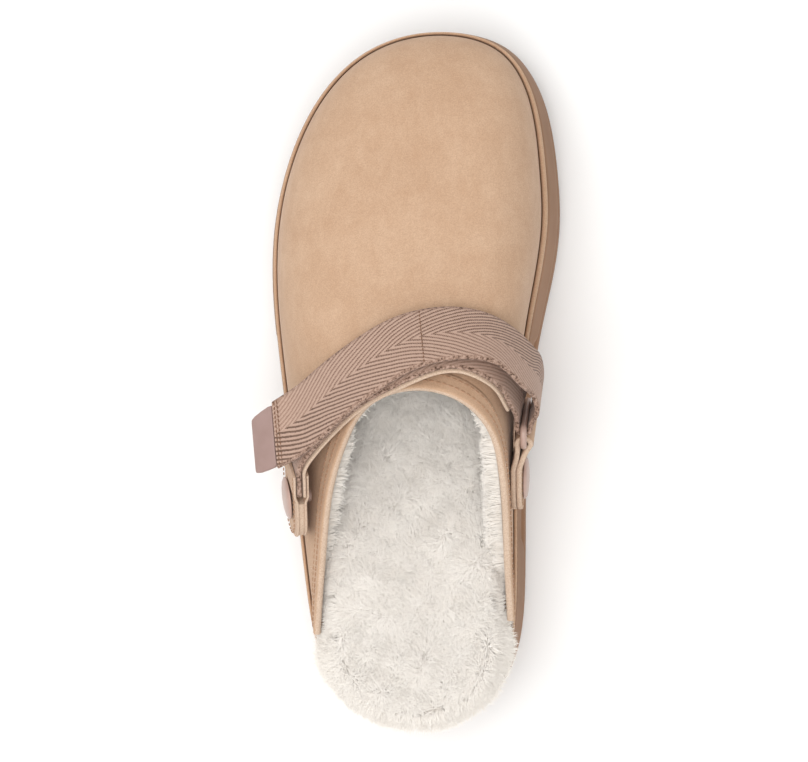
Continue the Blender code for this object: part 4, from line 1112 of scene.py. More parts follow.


# Soft creases of the upper, placed one by one. Each runs through three places on the upper, given
# as share of the way round it and share of the way up; then depth and half width in metres.
CREASES = (
    ((0.275, 0.62), (0.36, 0.84), (0.47, 0.93), 0.00055, 0.0060),
    ((0.72, 0.60), (0.655, 0.80), (0.57, 0.92), 0.00050, 0.0060),
    ((0.30, 0.36), (0.345, 0.62), (0.42, 0.78), 0.00035, 0.0055),
    ((0.70, 0.34), (0.665, 0.56), (0.61, 0.74), 0.00035, 0.0050),
    ((0.40, 0.30), (0.46, 0.40), (0.53, 0.42), 0.00030, 0.0090),
    ((0.58, 0.24), (0.63, 0.36), (0.66, 0.50), 0.00028, 0.0070),
    ((0.215, 0.45), (0.235, 0.66), (0.262, 0.82), 0.00040, 0.0040),
    ((0.775, 0.42), (0.760, 0.62), (0.742, 0.80), 0.00035, 0.0036),
)
UPPER_COLUMNS = 330
BODY_ROWS = 58
FOLD_ROWS = 9
RIM_TURNS = (30, 65, 100, 140)

# Rows close together at the edge fold's step, by their distance from it.
STEP_ROWS = (-0.0006, -0.0003, 0.0, 0.0003, 0.0007, 0.0012)

# How far the pile's strands stand above the cushion.
PILE_ROOM = 0.0030


def crease_line(row):
    """A dense line on the upper's outside through a crease's three places."""
    marks = np.array(row[:3])
    t = np.linspace(0, 1, 25)[:, None]
    bent = (1 - t) ** 2 * marks[0] + 2 * (1 - t) * t * (2 * marks[1] - marks[0] / 2 - marks[2] / 2)
    bent = bent + t**2 * marks[2]
    points = []
    for share, rise in bent:
        share = UPPER_REAR_OUTER + (UPPER_REAR_INNER - UPPER_REAR_OUTER) * share
        curve = upper_curve(share)
        points.append(curve[int(round(rise * (len(curve) - 1)))])
    return np.array(points)


def crease_relief(points):
    """How far each surface point is pushed in by the creases, with a soft ridge beside each."""
    relief = np.zeros(len(points))
    for row in CREASES:
        line = crease_line(row)
        gaps = np.linalg.norm(points[:, None, :] - line[None, :, :], axis=2)
        near = gaps.min(axis=1) / row[4]
        end = gaps.argmin(axis=1) / (len(line) - 1)
        fade = np.sin(math.pi * np.clip(end * 0.92 + 0.04, 0, 1)) ** 0.6
        relief -= row[3] * fade * (np.exp(-(near**2)) - 0.55 * np.exp(-((near - 1.9) ** 2)))
    return relief


def upper_surface():
    """Grid of outside points from the welt up to the collar, and the grid's normals."""
    shares = np.linspace(UPPER_REAR_OUTER, UPPER_REAR_INNER, UPPER_COLUMNS + 1)
    grid, folds = [], []
    for share in shares:
        curve = upper_curve(share, samples=120)
        run = chord_knots(curve)
        total = run[-1]
        body = total - min(EDGE_FOLD_WIDTH, 0.55 * total)
        low = np.linspace(0, body + STEP_ROWS[0], BODY_ROWS)
        top = np.linspace(body + STEP_ROWS[-1], total, FOLD_ROWS)
        places = np.concatenate([low, body + np.array(STEP_ROWS[1:-1]), top])
        grid.append(np.stack([np.interp(places, run, curve[:, k]) for k in range(3)], 1))
        folds.append(np.clip((places - body + 0.0004) / 0.0010, 0, 1))
    grid, folds = np.array(grid), np.array(folds)
    for _ in range(2):
        grid[1:-1] = (grid[:-2] + 2 * grid[1:-1] + grid[2:]) / 4
    normal = grid_normals(grid)
    lift = EDGE_FOLD_STEP * (3 * folds**2 - 2 * folds**3)
    relief = crease_relief(grid.reshape(-1, 3)).reshape(folds.shape) * (1 - folds)
    foot = np.linspace(0, 1, grid.shape[1])[None, :]
    relief *= np.clip(foot / 0.12, 0, 1)
    return grid, normal, lift, relief


SURFACE = upper_surface()


def upper_point(column_share, from_top, outward):
    """A point near the collar: share of the columns, distance below the edge, distance out."""
    grid, normal = SURFACE[0], SURFACE[1]
    i = min(max(int(round(column_share * (len(grid) - 1))), 0), len(grid) - 1)
    run = chord_knots(grid[i][::-1])
    spot = np.array([np.interp(from_top, run, grid[i][::-1, k]) for k in range(3)])
    way = np.array([np.interp(from_top, run, normal[i][::-1, k]) for k in range(3)])
    return spot + unit(way) * outward


def make_upper_piece(material):
    """Hollow suede wall with a folded, rounded edge at the collar and soft creases."""
    grid, normal, lift, relief = SURFACE
    outside = grid + normal * (lift + relief)[:, :, None]
    inside = grid - normal * UPPER_WALL
    inside[:, 0, 2] = grid[:, 0, 2]
    count = len(grid)
    rise = unit_rows(grid[:, -1] - grid[:, -4])
    out = normal[:, -1]
    rim = []
    for angle in np.radians(RIM_TURNS):
        half = (UPPER_WALL + EDGE_FOLD_STEP) / 2
        centre = grid[:, -1] + out * (EDGE_FOLD_STEP - half)
        rim.append(centre + out * half * math.cos(angle) + rise * half * 0.75 * math.sin(angle))
    rim = np.stack(rim, 1)
    rings = np.concatenate([outside, rim, inside[:, ::-1]], axis=1)
    size, rows, rim_size = rings.shape[1], grid.shape[1], len(RIM_TURNS)
    faces = loft_faces(count, size)
    for i in (0, count - 1):
        a = i * size
        for j in range(rows - 1):
            faces.append((a + j, a + j + 1, a + size - 2 - j, a + size - 1 - j))
        faces.append(tuple(range(a + rows - 1, a + rows + rim_size + 1)))
    obj = mesh_object("upper_suede", rings.reshape(-1, 3), faces, material, 60)
    mark_raw(obj, size, range(rows + 1, rows + rim_size + 1))
    return placed_on(obj, "suede", "upper")


def ring_stack(rings, across, low_height, high_height):
    """Points and faces of a solid from rings, bottom to top, both ends capped."""
    half = len(rings[0]) // 2
    verts = [np.array(p) for ring in rings for p in ring]
    faces = loft_faces(len(rings), 2 * half)
    top = (len(rings) - 1) * 2 * half
    for start, height_at in ((0, low_height), (top, high_height)):
        ring = [np.array(v) for v in verts[start : start + 2 * half]]
        lines = []
        for k in range(1, half):
            line = [start + k]
            for step in range(1, across):
                point = ring[k] + (ring[2 * half - k] - ring[k]) * step / across
                point[2] = height_at(point[0], point[1])
                verts.append(point)
                line.append(len(verts) - 1)
            lines.append(line + [start + 2 * half - k])
        for a, b in zip(lines[:-1], lines[1:]):
            faces += [(a[i], a[i + 1], b[i + 1], b[i]) for i in range(across)]
        for apex, line in ((start, lines[0]), (start + half, lines[-1])):
            faces += [(apex, line[i], line[i + 1]) for i in range(across)]
    return verts, faces


# The sole's side from the ground up, rounded. Columns: share of height, share of flare.
SIDE_ROUNDED = (
    (0.000, 0.42), (0.020, 0.28), (0.055, 0.14), (0.110, 0.05), (0.180, 0.00), (0.300, 0.03),
    (0.392, 0.07), (0.404, 0.10), (0.414, 0.18), (0.428, 0.22), (0.462, 0.22), (0.476, 0.19),
    (0.486, 0.12), (0.498, 0.10), (0.600, 0.19), (0.720, 0.32), (0.820, 0.42), (0.920, 0.51),
    (0.970, 0.57), (0.992, 0.62), (1.000, 0.68),
)


# The tread's grooves are cut by bowed bars, in this many steps across, from this far below ground.
CUTTER_STEPS = 16
CUTTER_LOW = -HEEL_HEIGHT / 4
SOLE_SHARP_ANGLE = 40


def make_sole_piece(material):
    """Moulded foam platform: flared side with its groove, waist panels and grooved tread."""
    shares = ring_shares(150)
    rings = []
    for level, flare in SIDE_ROUNDED:
        plan = edge_at(shares, flare)
        share = (plan[:, 1] + HEEL_SEAT) / LENGTH
        sunk = ARCH_PANEL_DEPTH
        for near_end, far_end, place, soft in (
            (PANEL_FROM, PANEL_TO, share, PANEL_SOFT_ENDS),
            (PANEL_LOW, PANEL_HIGH, level, PANEL_SOFT_EDGES),
        ):
            sunk = sunk * np.clip((place - near_end) / soft, 0, 1)
            sunk = sunk * np.clip((far_end - place) / soft, 0, 1)
        plan = edge_at(shares, flare, sunk[:, None])
        low, high = sole_tread(plan[:, 1]), sole_top(plan[:, 1])
        rings.append(lifted(plan, low + (high - low) * level))
    shelf = edge_at(shares, 1.0, UPPER_WALL + SHELF_WIDTH)
    rings.append(lifted(shelf, sole_top(shelf[:, 1])))
    bed = edge_at(shares, 1.0, UPPER_WALL + SHELF_WIDTH + BED_STEP_WIDTH)
    rings.append(lifted(bed, sole_top(bed[:, 1]) - FOOTBED_DROP))
    verts, faces = ring_stack(
        rings,
        10,
        lambda x, y: float(sole_tread([y])[0]),
        lambda x, y: float(sole_top([y])[0]) - FOOTBED_DROP,
    )
    sole = mesh_object("sole_foam", verts, faces, material, SOLE_SHARP_ANGLE)
    cutter_points, cutter_faces = [], []
    for centre in groove_centres():
        start = len(cutter_points)
        for part in np.linspace(0, 1, CUTTER_STEPS + 1):
            x = (part - 0.5) * 1.2 * BALL_WIDTH
            y = centre - GROOVE_BOW * (2 * part - 1) ** 2
            floor = float(sole_tread([y])[0]) + GROOVE_DEPTH
            for side, z in ((-1, CUTTER_LOW), (1, CUTTER_LOW), (0.8, floor), (-0.8, floor)):
                cutter_points.append((x, y + side * GROOVE_WIDTH / 2, z))
        faces = loft_faces(CUTTER_STEPS + 1, 4, capped=True)
        cutter_faces += [tuple(start + corner for corner in face) for face in faces]
    cutter = mesh_object("tread_cutter", cutter_points, cutter_faces, None)
    modifier = sole.modifiers.new("tread", "BOOLEAN")
    modifier.operation = "DIFFERENCE"
    modifier.object = cutter
    modifier.solver = "EXACT"
    sole.data = evaluated(sole)
    bpy.data.objects.remove(cutter)
    sole.data.set_sharp_from_angle(angle=math.radians(SOLE_SHARP_ANGLE))
    return placed_on(sole, "foam", "sole")


def make_welt_piece(material):
    """Narrow suede strip right round the shoe, domed in section."""
    shares = ring_shares(260)
    outer = 1.0 - (WELT_WIDTH + CLEARANCE) / SIDE_FLARE
    inner = 1.0 - CLEARANCE / SIDE_FLARE
    profile = (
        (0.0, 0.0), (0.0, 0.45), (0.06, 0.72), (0.20, 0.93), (0.42, 1.0), (0.66, 0.99),
        (0.86, 0.90), (0.97, 0.72), (1.0, 0.45), (1.0, 0.0),
    )
    columns = []
    for part, rise in profile:
        plan = edge_at(shares, outer + (inner - outer) * part)
        height = sole_top(plan[:, 1]) + CLEARANCE + rise * WELT_HEIGHT
        columns.append(lifted(plan, height))
    verts = np.stack(columns, 1).reshape(-1, 3)
    faces = loft_faces(len(shares), len(profile), closed=True)
    placed_on(mesh_object("welt_strip", verts, faces, material, 60), "suede", "welt")


def pile_height(x, y):
    """Height of the cushion under the pile, with the relief of its locks."""
    return float(sole_top([y])[0]) + PILE_HEIGHT - PILE_ROOM + LOCK_RELIEF * lock_relief(x, y)


def insole_rings(count):
    """Rings of the cushion's side, from the footbed up to where its top begins."""
    shares = ring_shares(count)
    base = edge_at(shares, 1.0, UPPER_WALL + CUSHION_INSET)
    rings = [lifted(base, sole_top(base[:, 1]) - FOOTBED_DROP + CLEARANCE)]
    shelf = edge_at(shares, 1.0, UPPER_WALL + CUSHION_SHELF_INSET)
    rings.append(lifted(shelf, sole_top(shelf[:, 1]) + SKIN_GAP))
    # Columns: height above the sole's top edge, inset and spill over the welt at the open heel.
    levels = (
        (0.0006, 0.0008, 0.0),
        (WELT_HEIGHT + 0.0006, 0.0006, 0.0),
        (0.34 * PILE_HEIGHT, 0.0012, 0.0006),
        (0.46 * PILE_HEIGHT, 0.0028, 0.0008),
        (0.55 * PILE_HEIGHT, 0.0052, 0.0008),
    )
    for height, inset, spill in levels:
        plan = np.array([insole_point(share, height, inset, spill) for share in shares])
        rings.append(lifted(plan, sole_top(plan[:, 1]) + height))
    return rings


def make_insole_piece(material):
    """The cushion under the pile: the strands stand on it."""
    verts, faces = ring_stack(
        insole_rings(110),
        36,
        lambda x, y: float(sole_top([y])[0]) - FOOTBED_DROP + CLEARANCE,
        pile_height,
    )
    obj = mesh_object("insole_cushion", verts, faces, material, 80)
    # At height 0 the cushion takes the plush's root colour, its painted shade.
    mark_points(obj, "height", np.zeros(len(obj.data.vertices), np.float32))
    placed_on(obj, "pile", "insole")
    return obj


# Ahead of this place on the Y axis the upper covers the cushion's sides, and a little further
# ahead on the inner side.
OPEN_HEEL = -0.009
INNER_OPENING = 0.008

# Stretches of the insole's pile. Columns: name, from and to on the Y axis, number of strands, how
# far they fan out from the surface, and how far they rise.
PILE_REGIONS = (
    ("pile_heel", -0.060, 0.022, 65000, 0.34, 0.60),
    ("pile_middle", 0.022, 0.092, 65000, 0.38, 0.58),
    ("pile_front", 0.092, 0.185, 36000, 0.25, 0.70),
)


def region_mesh(cushion, low, high):
    """A copy of the cushion's open upper faces between two places along the shoe, and its area."""
    work = bmesh.new()
    work.from_mesh(cushion.data)
    drop = []
    for face in work.faces:
        centre = face.calc_center_median()
        rise = centre.z - float(sole_top([centre.y])[0])
        open_to = OPEN_HEEL + (INNER_OPENING if centre.x > 0 else 0.0)
        side_face = face.normal.z < 0.50 or rise < 0.42 * PILE_HEIGHT
        inside = low <= centre.y < high and rise > WELT_HEIGHT + 0.0006
        if not inside or (centre.y > open_to and side_face):
            drop.append(face)
    bmesh.ops.delete(work, geom=drop, context="FACES")
    area = sum(face.calc_area() for face in work.faces)
    mesh = bpy.data.meshes.new("pile_base")
    work.to_mesh(mesh)
    work.free()
    return linked("pile_base", mesh), area


def make_pile(cushion, material):
    """Deep wool plush over the cushion, in three stretches along the shoe."""
    for index, (name, low, high, strands, fan, rise) in enumerate(PILE_REGIONS):
        base, area = region_mesh(cushion, low, high)
        values = {"Density": strands / area, "Lean": 0.9, "Spread": fan, "Rise": rise}
        values = {**values, "Lock size": 0.0105, "Shortest": 0.72, "Longest": 1.12}
        pile_piece(name, base, INSOLE_STRAND, material, Seed=3 + index, **values)


def make_lining_pile(material):
    """The same plush inside the upper, from just under the collar down to the insole."""
    grid = SURFACE[0]
    count, rows, verts = len(grid), 14, []
    for i in range(0, count, 2):
        share = i / (count - 1)
        from_rear = min(share, 1 - share)
        start = LINING_START + LINING_REAR_DROP * max(0.0, 1 - from_rear / 0.16) ** 1.5
        deepest = chord_knots(grid[i][::-1])[-1] * 0.72
        for step in range(rows):
            depth = min(start + step / (rows - 1) * LINING_DEPTH, deepest)
            verts.append(upper_point(share, depth, -UPPER_WALL - LINING_GAP))
    faces = grid_faces(len(verts) // rows, rows)
    base = mesh_object("lining_base", verts, faces, None, recalculate=False)
    faces = base.data.polygons
    middle = faces[len(faces) // 2]
    if middle.normal.dot(middle.center - Vector((0.0, 0.04, 0.06))) > 0:
        base.data.flip_normals()
    values = {"Density": LINING_STRANDS / sum(face.area for face in faces), "Lean": 1.2}
    values = {**values, "Lock size": 0.0095, "Shortest": 0.6, "Longest": 1.0}
    pile_piece("lining_pile", base, LINING_STRAND, material, Seed=9, **values)


def band_piece(name, lines, width, thickness, offset, columns, material):
    """A dense flat band with rounded edges and a map of its length and width in metres."""
    middle, way, normal = lines
    half = width / 2
    flat, shoulder = half - thickness * 0.35, half - thickness * 0.10
    section = [(v, thickness / 2) for v in np.linspace(-flat, flat, columns)]
    section += [(shoulder, thickness * 0.36), (half, 0.0), (shoulder, -thickness * 0.36)]
    section += [(-v, -t) for v, t in section]
    verts, places = [], []
    for run, centre, over, out in zip(chord_knots(middle), middle, way, normal):
        for v, t in section:
            verts.append(centre + over * v + out * (offset + t))
            places.append((run, v))
    faces = loft_faces(len(middle), len(section), capped=True)
    obj = mesh_object(name, verts, faces, material, 60)
    layer = obj.data.uv_layers.new(name="web")
    corners = np.zeros(len(obj.data.loops), np.int32)
    obj.data.loops.foreach_get("vertex_index", corners)
    layer.data.foreach_set("uv", np.array(places, np.float32)[corners].ravel())
    return obj


# Samples between two stations on the strap's runs, and how many samples short of the ring's bar
# its backing ends.
RUN_STEPS = 12
BACKING_SHORT = 6


@functools.cache
def lines_of_strap():
    """Both tabs' frames, the strap's middle line, ways and normals, and where its backing ends."""
    grid = SURFACE[0]
    points = [Vector(p) for p in grid.reshape(-1, 3)]
    tree = BVHTree.FromPolygons(points, grid_faces(grid.shape[0], grid.shape[1]))
    outer, inner = tab_frame(tree, RIVET_OUTER, -1), tab_frame(tree, RIVET_INNER, 1)
    rear, front, turn_from, turn_count = strap_stations(outer, inner, tree)
    after_turn = len(rear) - turn_from - turn_count
    counts = [3, 3, 3, 16] + [RUN_STEPS] * (turn_from - 4)
    counts += [3] * (turn_count - 1) + [RUN_STEPS] * after_turn
    middle, way, normal = band_lines(rear, front, counts)
    if normal[len(normal) // 6][2] < 0:
        normal = -normal
    under = sum(counts[: turn_from - 1]) - BACKING_SHORT
    return outer, inner, (middle, way, normal), under


# The strap's moulded end. Columns: share of its length, of its width and of its thickness.
TIP_ROWS = (
    (0.0, 0.96, 0.86), (0.03, 0.975, 1.0), (0.16, 1.0, 1.0), (0.50, 0.97, 1.0),
    (0.80, 0.93, 1.0), (0.93, 0.89, 0.90), (0.98, 0.86, 0.72), (1.0, 0.84, 0.5),
)
TIP_SIDES = 24


def make_strap_pieces(lines, under, webbing, suede, plastic):
    """Webbing, its suede backing under the lower run and the moulded end piece."""
    strap = band_piece("strap_webbing", lines, WEBBING_WIDTH, WEBBING_THICKNESS, 0.0, 15, webbing)
    placed_on(strap, "webbing", "strap")
    below = -(WEBBING_THICKNESS + BACKING_THICKNESS) / 2 - SKIN_GAP
    lower = [line[:under] for line in lines]
    backing = band_piece(
        "strap_backing_suede", lower, BACKING_WIDTH, BACKING_THICKNESS, below, 9, suede
    )
    mark_raw(backing, 24, (*range(8, 13), *range(20, 24), 0))
    placed_on(backing, "suede", "strap_backing")
    middle, way, normal = lines
    tangent = unit(middle[-1] - middle[-2])
    start = middle[-1] + tangent * CLEARANCE
    section = []
    for turn in range(TIP_SIDES):
        angle = 2 * math.pi * turn / TIP_SIDES
        c, s = math.cos(angle), math.sin(angle)
        section.append((math.copysign(abs(c) ** 0.16, c), math.copysign(abs(s) ** 0.4, s)))
    verts = []
    for place, wide, thick in TIP_ROWS:
        centre = start + tangent * TIP_LENGTH * place
        over, out = way[-1] * TIP_WIDTH / 2 * wide, normal[-1] * TIP_THICKNESS / 2 * thick
        verts += [centre + over * w + out * t for w, t in section]
    faces = loft_faces(len(TIP_ROWS), TIP_SIDES, capped=True)
    placed_on(mesh_object("strap_tip_plate", verts, faces, plastic, 40), "plastic", "strap_tip")


def make_rivet_piece(name, seat, gap, tab_thickness, material, node):
    """Domed cap, shank and flat back, turned about the rivet's axis."""
    point, out, run, over, lean = seat
    top = tab_thickness + CLEARANCE
    bottom = -UPPER_WALL - 2 * CLEARANCE - gap - lean * RIVET_BACK / 2
    cap, back, high = RIVET_CAP / 2, RIVET_BACK / 2, RIVET_CAP_HEIGHT
    profile = (
        (0.0, top + high), (cap * 0.25, top + high * 0.99), (cap * 0.50, top + high * 0.95),
        (cap * 0.70, top + high * 0.85), (cap * 0.86, top + high * 0.68),
        (cap * 0.95, top + high * 0.48), (cap * 0.99, top + high * 0.28), (cap, top + high * 0.12),
        (cap * 0.985, top), (RIVET_SHANK / 2, top), (RIVET_SHANK / 2, bottom),
        (back * 0.97, bottom), (back, bottom - 0.0003), (back * 0.96, bottom - RIVET_BACK_HEIGHT),
        (0.0, bottom - RIVET_BACK_HEIGHT),
    )
    segments, verts, rings, faces = 56, [], [], []
    for radius, height in profile:
        centre = point + out * height
        if radius == 0.0:
            verts.append(centre)
            rings.append([len(verts) - 1])
            continue
        start = len(verts)
        for k in range(segments):
            turn = 2 * math.pi * k / segments
            verts.append(centre + radius * (math.cos(turn) * run + math.sin(turn) * over))
        rings.append(list(range(start, start + segments)))
    for a, b in zip(rings[:-1], rings[1:]):
        for k in range(segments):
            m = (k + 1) % segments
            if len(a) == 1:
                faces.append((a[0], b[k], b[m]))
            elif len(b) == 1:
                faces.append((a[k], b[0], a[m]))
            else:
                faces.append((a[k], b[k], b[m], a[m]))
    placed_on(mesh_object(name, verts, faces, material, 40), "metal", node)


WIRE_SIDES = 20


def wire_points(path, radius, sides):
    """Points of a round wire along a closed path."""
    tangent = unit_rows(np.roll(path, -1, axis=0) - np.roll(path, 1, axis=0))
    side = unit(np.cross(tangent[0], (0.0, 0.0, 1.0)))
    points = []
    for centre, way in zip(path, tangent):
        side = unit(side - way * float(side @ way))
        up = np.cross(way, side)
        for k in range(sides):
            turn = 2 * math.pi * k / sides
            points.append(centre + radius * (math.cos(turn) * side + math.sin(turn) * up))
    return points


def make_ring_piece(seat, material):
    """Rectangular ring of round coated wire."""
    _, _, run, over, _ = seat
    centre = bar_centre(seat) + run * (RING_REACH + RING_WIRE) / 2
    half_run, half_over = (RING_REACH + RING_WIRE) / 2, (RING_SPAN + RING_WIRE) / 2
    corner, path = RING_CORNER, []
    for turn, signs in ((0, (1, 1)), (90, (-1, 1)), (180, (-1, -1)), (270, (1, -1))):
        for step in range(10):
            angle = math.radians(turn + 10 * step)
            along_run = signs[0] * (half_run - corner) + corner * math.cos(angle)
            along_over = signs[1] * (half_over - corner) + corner * math.sin(angle)
            path.append(centre + run * along_run + over * along_over)
    points = wire_points(np.array(path), RING_WIRE / 2, WIRE_SIDES)
    faces = loft_faces(len(path), WIRE_SIDES, closed=True)
    placed_on(mesh_object("ring_wire", points, faces, material, 60), "metal", "ring")


def leather_strip(name, seat, path, halves, thickness, material):
    """A strip of leather along a path in a tab's frame: places are along the run and outward."""
    path = np.asarray(path, float)
    way = unit_rows(np.gradient(path, axis=0))
    edge = thickness * 0.38
    verts = []
    for (s, out), (ds, dout), half in zip(path, way, halves):
        flat = max(half - edge, 0.0)
        section = [(v, thickness / 2) for v in np.linspace(-flat, flat, 9)]
        for angle in np.radians((25, 55, 90, 125, 155)):
            section.append((flat + edge * math.sin(angle), thickness / 2 * math.cos(angle)))
        section += [(-v, -t) for v, t in section]
        verts += [placed(seat, s - dout * t, out + ds * t, v) for v, t in section]
    size = len(section)
    strip = mesh_object(name, verts, loft_faces(len(path), size, capped=True), material, 50)
    mark_raw(strip, size, (*range(9, 14), *range(23, 28)))
    return strip


def round_start(tail, length, count, bow_steps=14):
    """Places along a tab from its round end, close together where it curves, and half widths."""
    half = TAB_WIDTH / 2
    turns = [math.pi / 2 * k / bow_steps for k in range(1, bow_steps + 1)]
    bow = [-tail - half * math.cos(turn) for turn in turns]
    places = np.array(bow + list(np.linspace(-tail, length, count)[1:]))
    inside = np.clip(half**2 - np.minimum(places + tail, 0.0) ** 2, 0.0, None)
    return places, np.sqrt(inside)


def make_tab_pieces(outer, inner, material):
    """Both leather tabs: two layers round the strap, and one strip folded round the ring."""
    layer = OUTER_TAB_THICKNESS / 2
    slot = (WEBBING_THICKNESS + BACKING_THICKNESS + SKIN_GAP) / 2 + CLEARANCE
    skin = layer - slot
    places, halves = round_start(RIVET_OUTER[-1], TAB_LENGTH, 30)
    parts = []
    for side in (-1, 1):
        path = []
        for s in places:
            open_share = np.clip((s - TAB_LENGTH * 0.30) / (TAB_LENGTH * 0.18), 0, 1)
            open_share = open_share**2 * (3 - 2 * open_share)
            closed = layer + side * (layer / 2 + 0.00005)
            opened = layer + side * (slot + skin / 2)
            path.append((s, closed + (opened - closed) * open_share))
        parts.append(leather_strip("layer", outer, path, halves, skin, material))
    core_path = [(s, layer) for s in places[: int(len(places) * 0.62)]]
    core_halves = np.clip(halves[: len(core_path)] - 0.0004, 0.0002, None)
    core = layer * 2 - 0.0010
    parts.append(leather_strip("layer", outer, core_path, core_halves, core, material))
    placed_on(merged("tab_outer_leather", parts), "suede", "tab_outer")
    places, halves = round_start(RIVET_INNER[-1], RING_DISTANCE, 30)
    reach = RING_WIRE / 2 + CLEARANCE + TAB_LAYER / 2
    top, bottom = [], []
    for s in places:
        open_share = np.clip((s - TAB_BEND_FROM) / (RING_DISTANCE - TAB_BEND_FROM), 0, 1) ** 3.0
        half_gap = TAB_LAYER / 2 + (reach - TAB_LAYER / 2) * open_share
        middle = TAB_LAYER + bend_at(s)
        top.append((s, middle + half_gap))
        bottom.append((s, middle - half_gap))
    loop = []
    for angle in np.radians(np.linspace(80, -80, 13)):
        centre = TAB_LAYER + bend_at(RING_DISTANCE)
        loop.append((RING_DISTANCE + reach * math.cos(angle), centre + reach * math.sin(angle)))
    path = top + loop + bottom[::-1]
    widths = np.concatenate([halves, np.full(len(loop), TAB_WIDTH / 2), halves[::-1]])
    tab_inner = leather_strip("tab_inner_leather", inner, path, widths, TAB_LAYER * 0.95, material)
    placed_on(tab_inner, "suede", "tab_inner")


def merged(name, objects):
    """Several mesh objects as one."""
    work = bmesh.new()
    for obj in objects:
        work.from_mesh(obj.data)
    mesh = bpy.data.meshes.new(name)
    work.to_mesh(mesh)
    work.free()
    mesh.materials.append(objects[0].data.materials[0])
    for obj in objects:
        bpy.data.objects.remove(obj)
    return linked(name, mesh)


def band_row(lines, index, inset, reach=0.44):
    """A line across the strap at a station, just proud of the face that looks up."""
    middle, way, normal = lines
    i = min(max(index, 1), len(middle) - 2)
    tangent = unit(middle[i + 1] - middle[i - 1])
    up = normal[i] * math.copysign(1.0, normal[i][2])
    centre = middle[i] + tangent * inset + up * (WEBBING_THICKNESS / 2 + 0.0001)
    spread = np.linspace(-reach, reach, 9)[:, None] * WEBBING_WIDTH
    return centre + way[i] * spread


# Rows of stitches. Columns: pitch, length of one stitch and width of its thread.
COLLAR_SEAM = (0.0024, 0.0019, 0.00062)
FOLD_SEAM = (0.0024, 0.0019, 0.00055)
WELT_SEAM = (0.0026, 0.0015, 0.00045)
STRAP_SEAM = (0.0016, 0.0013, 0.00045)
TAB_SEAM = (0.0022, 0.0017, 0.0005)

# How far the collar's two seams lie below its edge, the tabs' from theirs, and the strap's two end
# rows past the last station but one.
COLLAR_SEAM_DEPTH = 0.0024
FOLD_SEAM_DEPTH = EDGE_FOLD_WIDTH * 0.80
TAB_SEAM_INSET = 0.0018
END_ROWS = (-0.0004, -0.0018)


def make_stitch_pieces(outer, inner, lines, thread, dark_thread):
    """Collar seam, welt seam, strap and tab stitches."""
    shares = np.linspace(0.004, 0.996, 260)
    collar = [upper_point(s, COLLAR_SEAM_DEPTH, EDGE_FOLD_STEP + 0.0001) for s in shares]
    stitched("collar_stitches", [collar], COLLAR_SEAM, thread, "suede")
    fold = [upper_point(s, FOLD_SEAM_DEPTH, EDGE_FOLD_STEP) for s in shares]
    stitched("fold_stitches", [fold], FOLD_SEAM, thread, "suede")
    seam = edge_at(ring_shares(300), 1.0 - (WELT_WIDTH + CLEARANCE - 0.0001) / SIDE_FLARE)
    seam = lifted(seam, sole_top(seam[:, 1]) + 0.0004)
    stitched("welt_stitches", [seam], WELT_SEAM, dark_thread, "suede")
    run = chord_knots(lines[0])
    rows = [band_row(lines, len(run) - 2, along_run) for along_run in END_ROWS]
    rows.append(band_row(lines, int(np.searchsorted(run, run[-1] - CROSS_SEAM)), 0.0))
    stitched("strap_stitches", rows, STRAP_SEAM, dark_thread, "webbing")
    paths = []
    for seat, tail, length, height in (
        (outer, RIVET_OUTER[-1], TAB_LENGTH - 0.002, OUTER_TAB_THICKNESS),
        (inner, RIVET_INNER[-1], TAB_BEND_FROM, 2 * TAB_LAYER),
    ):
        half = TAB_WIDTH / 2 - TAB_SEAM_INSET
        path = [placed(seat, length, height, -half)]
        for angle in np.radians(np.linspace(-90, -270, 25)):
            path.append(placed(seat, half * math.cos(angle) - tail, height, half * math.sin(angle)))
        paths.append([*path, placed(seat, length, height, half)])
    stitched("tab_stitches", paths, TAB_SEAM, thread, "suede")


# Where the camera stands, what it looks at, and its focal length in pixels of an image 808 wide.
CAMERA_PLACE = (0.0575, 0.0895, 1.0)
CAMERA_AIM = (-0.0032, 0.0887, 0.05)
FOCAL_PIXELS = 2489
IMAGE_WIDTH = 808

# Soft studio lights. Columns: name, place, width of the disc and power in watts.
LIGHTS = (
    ("key", (-0.12, -0.06, 1.60), 1.1, 14.2),
    ("fill", (0.20, -0.85, 1.00), 1.0, 2.5),
    ("rim", (-0.7, 0.7, 1.0), 0.9, 3.0),
)
LIGHT_AIM = (0.0, 0.09, 0.03)
FLOOR_REACH = 3


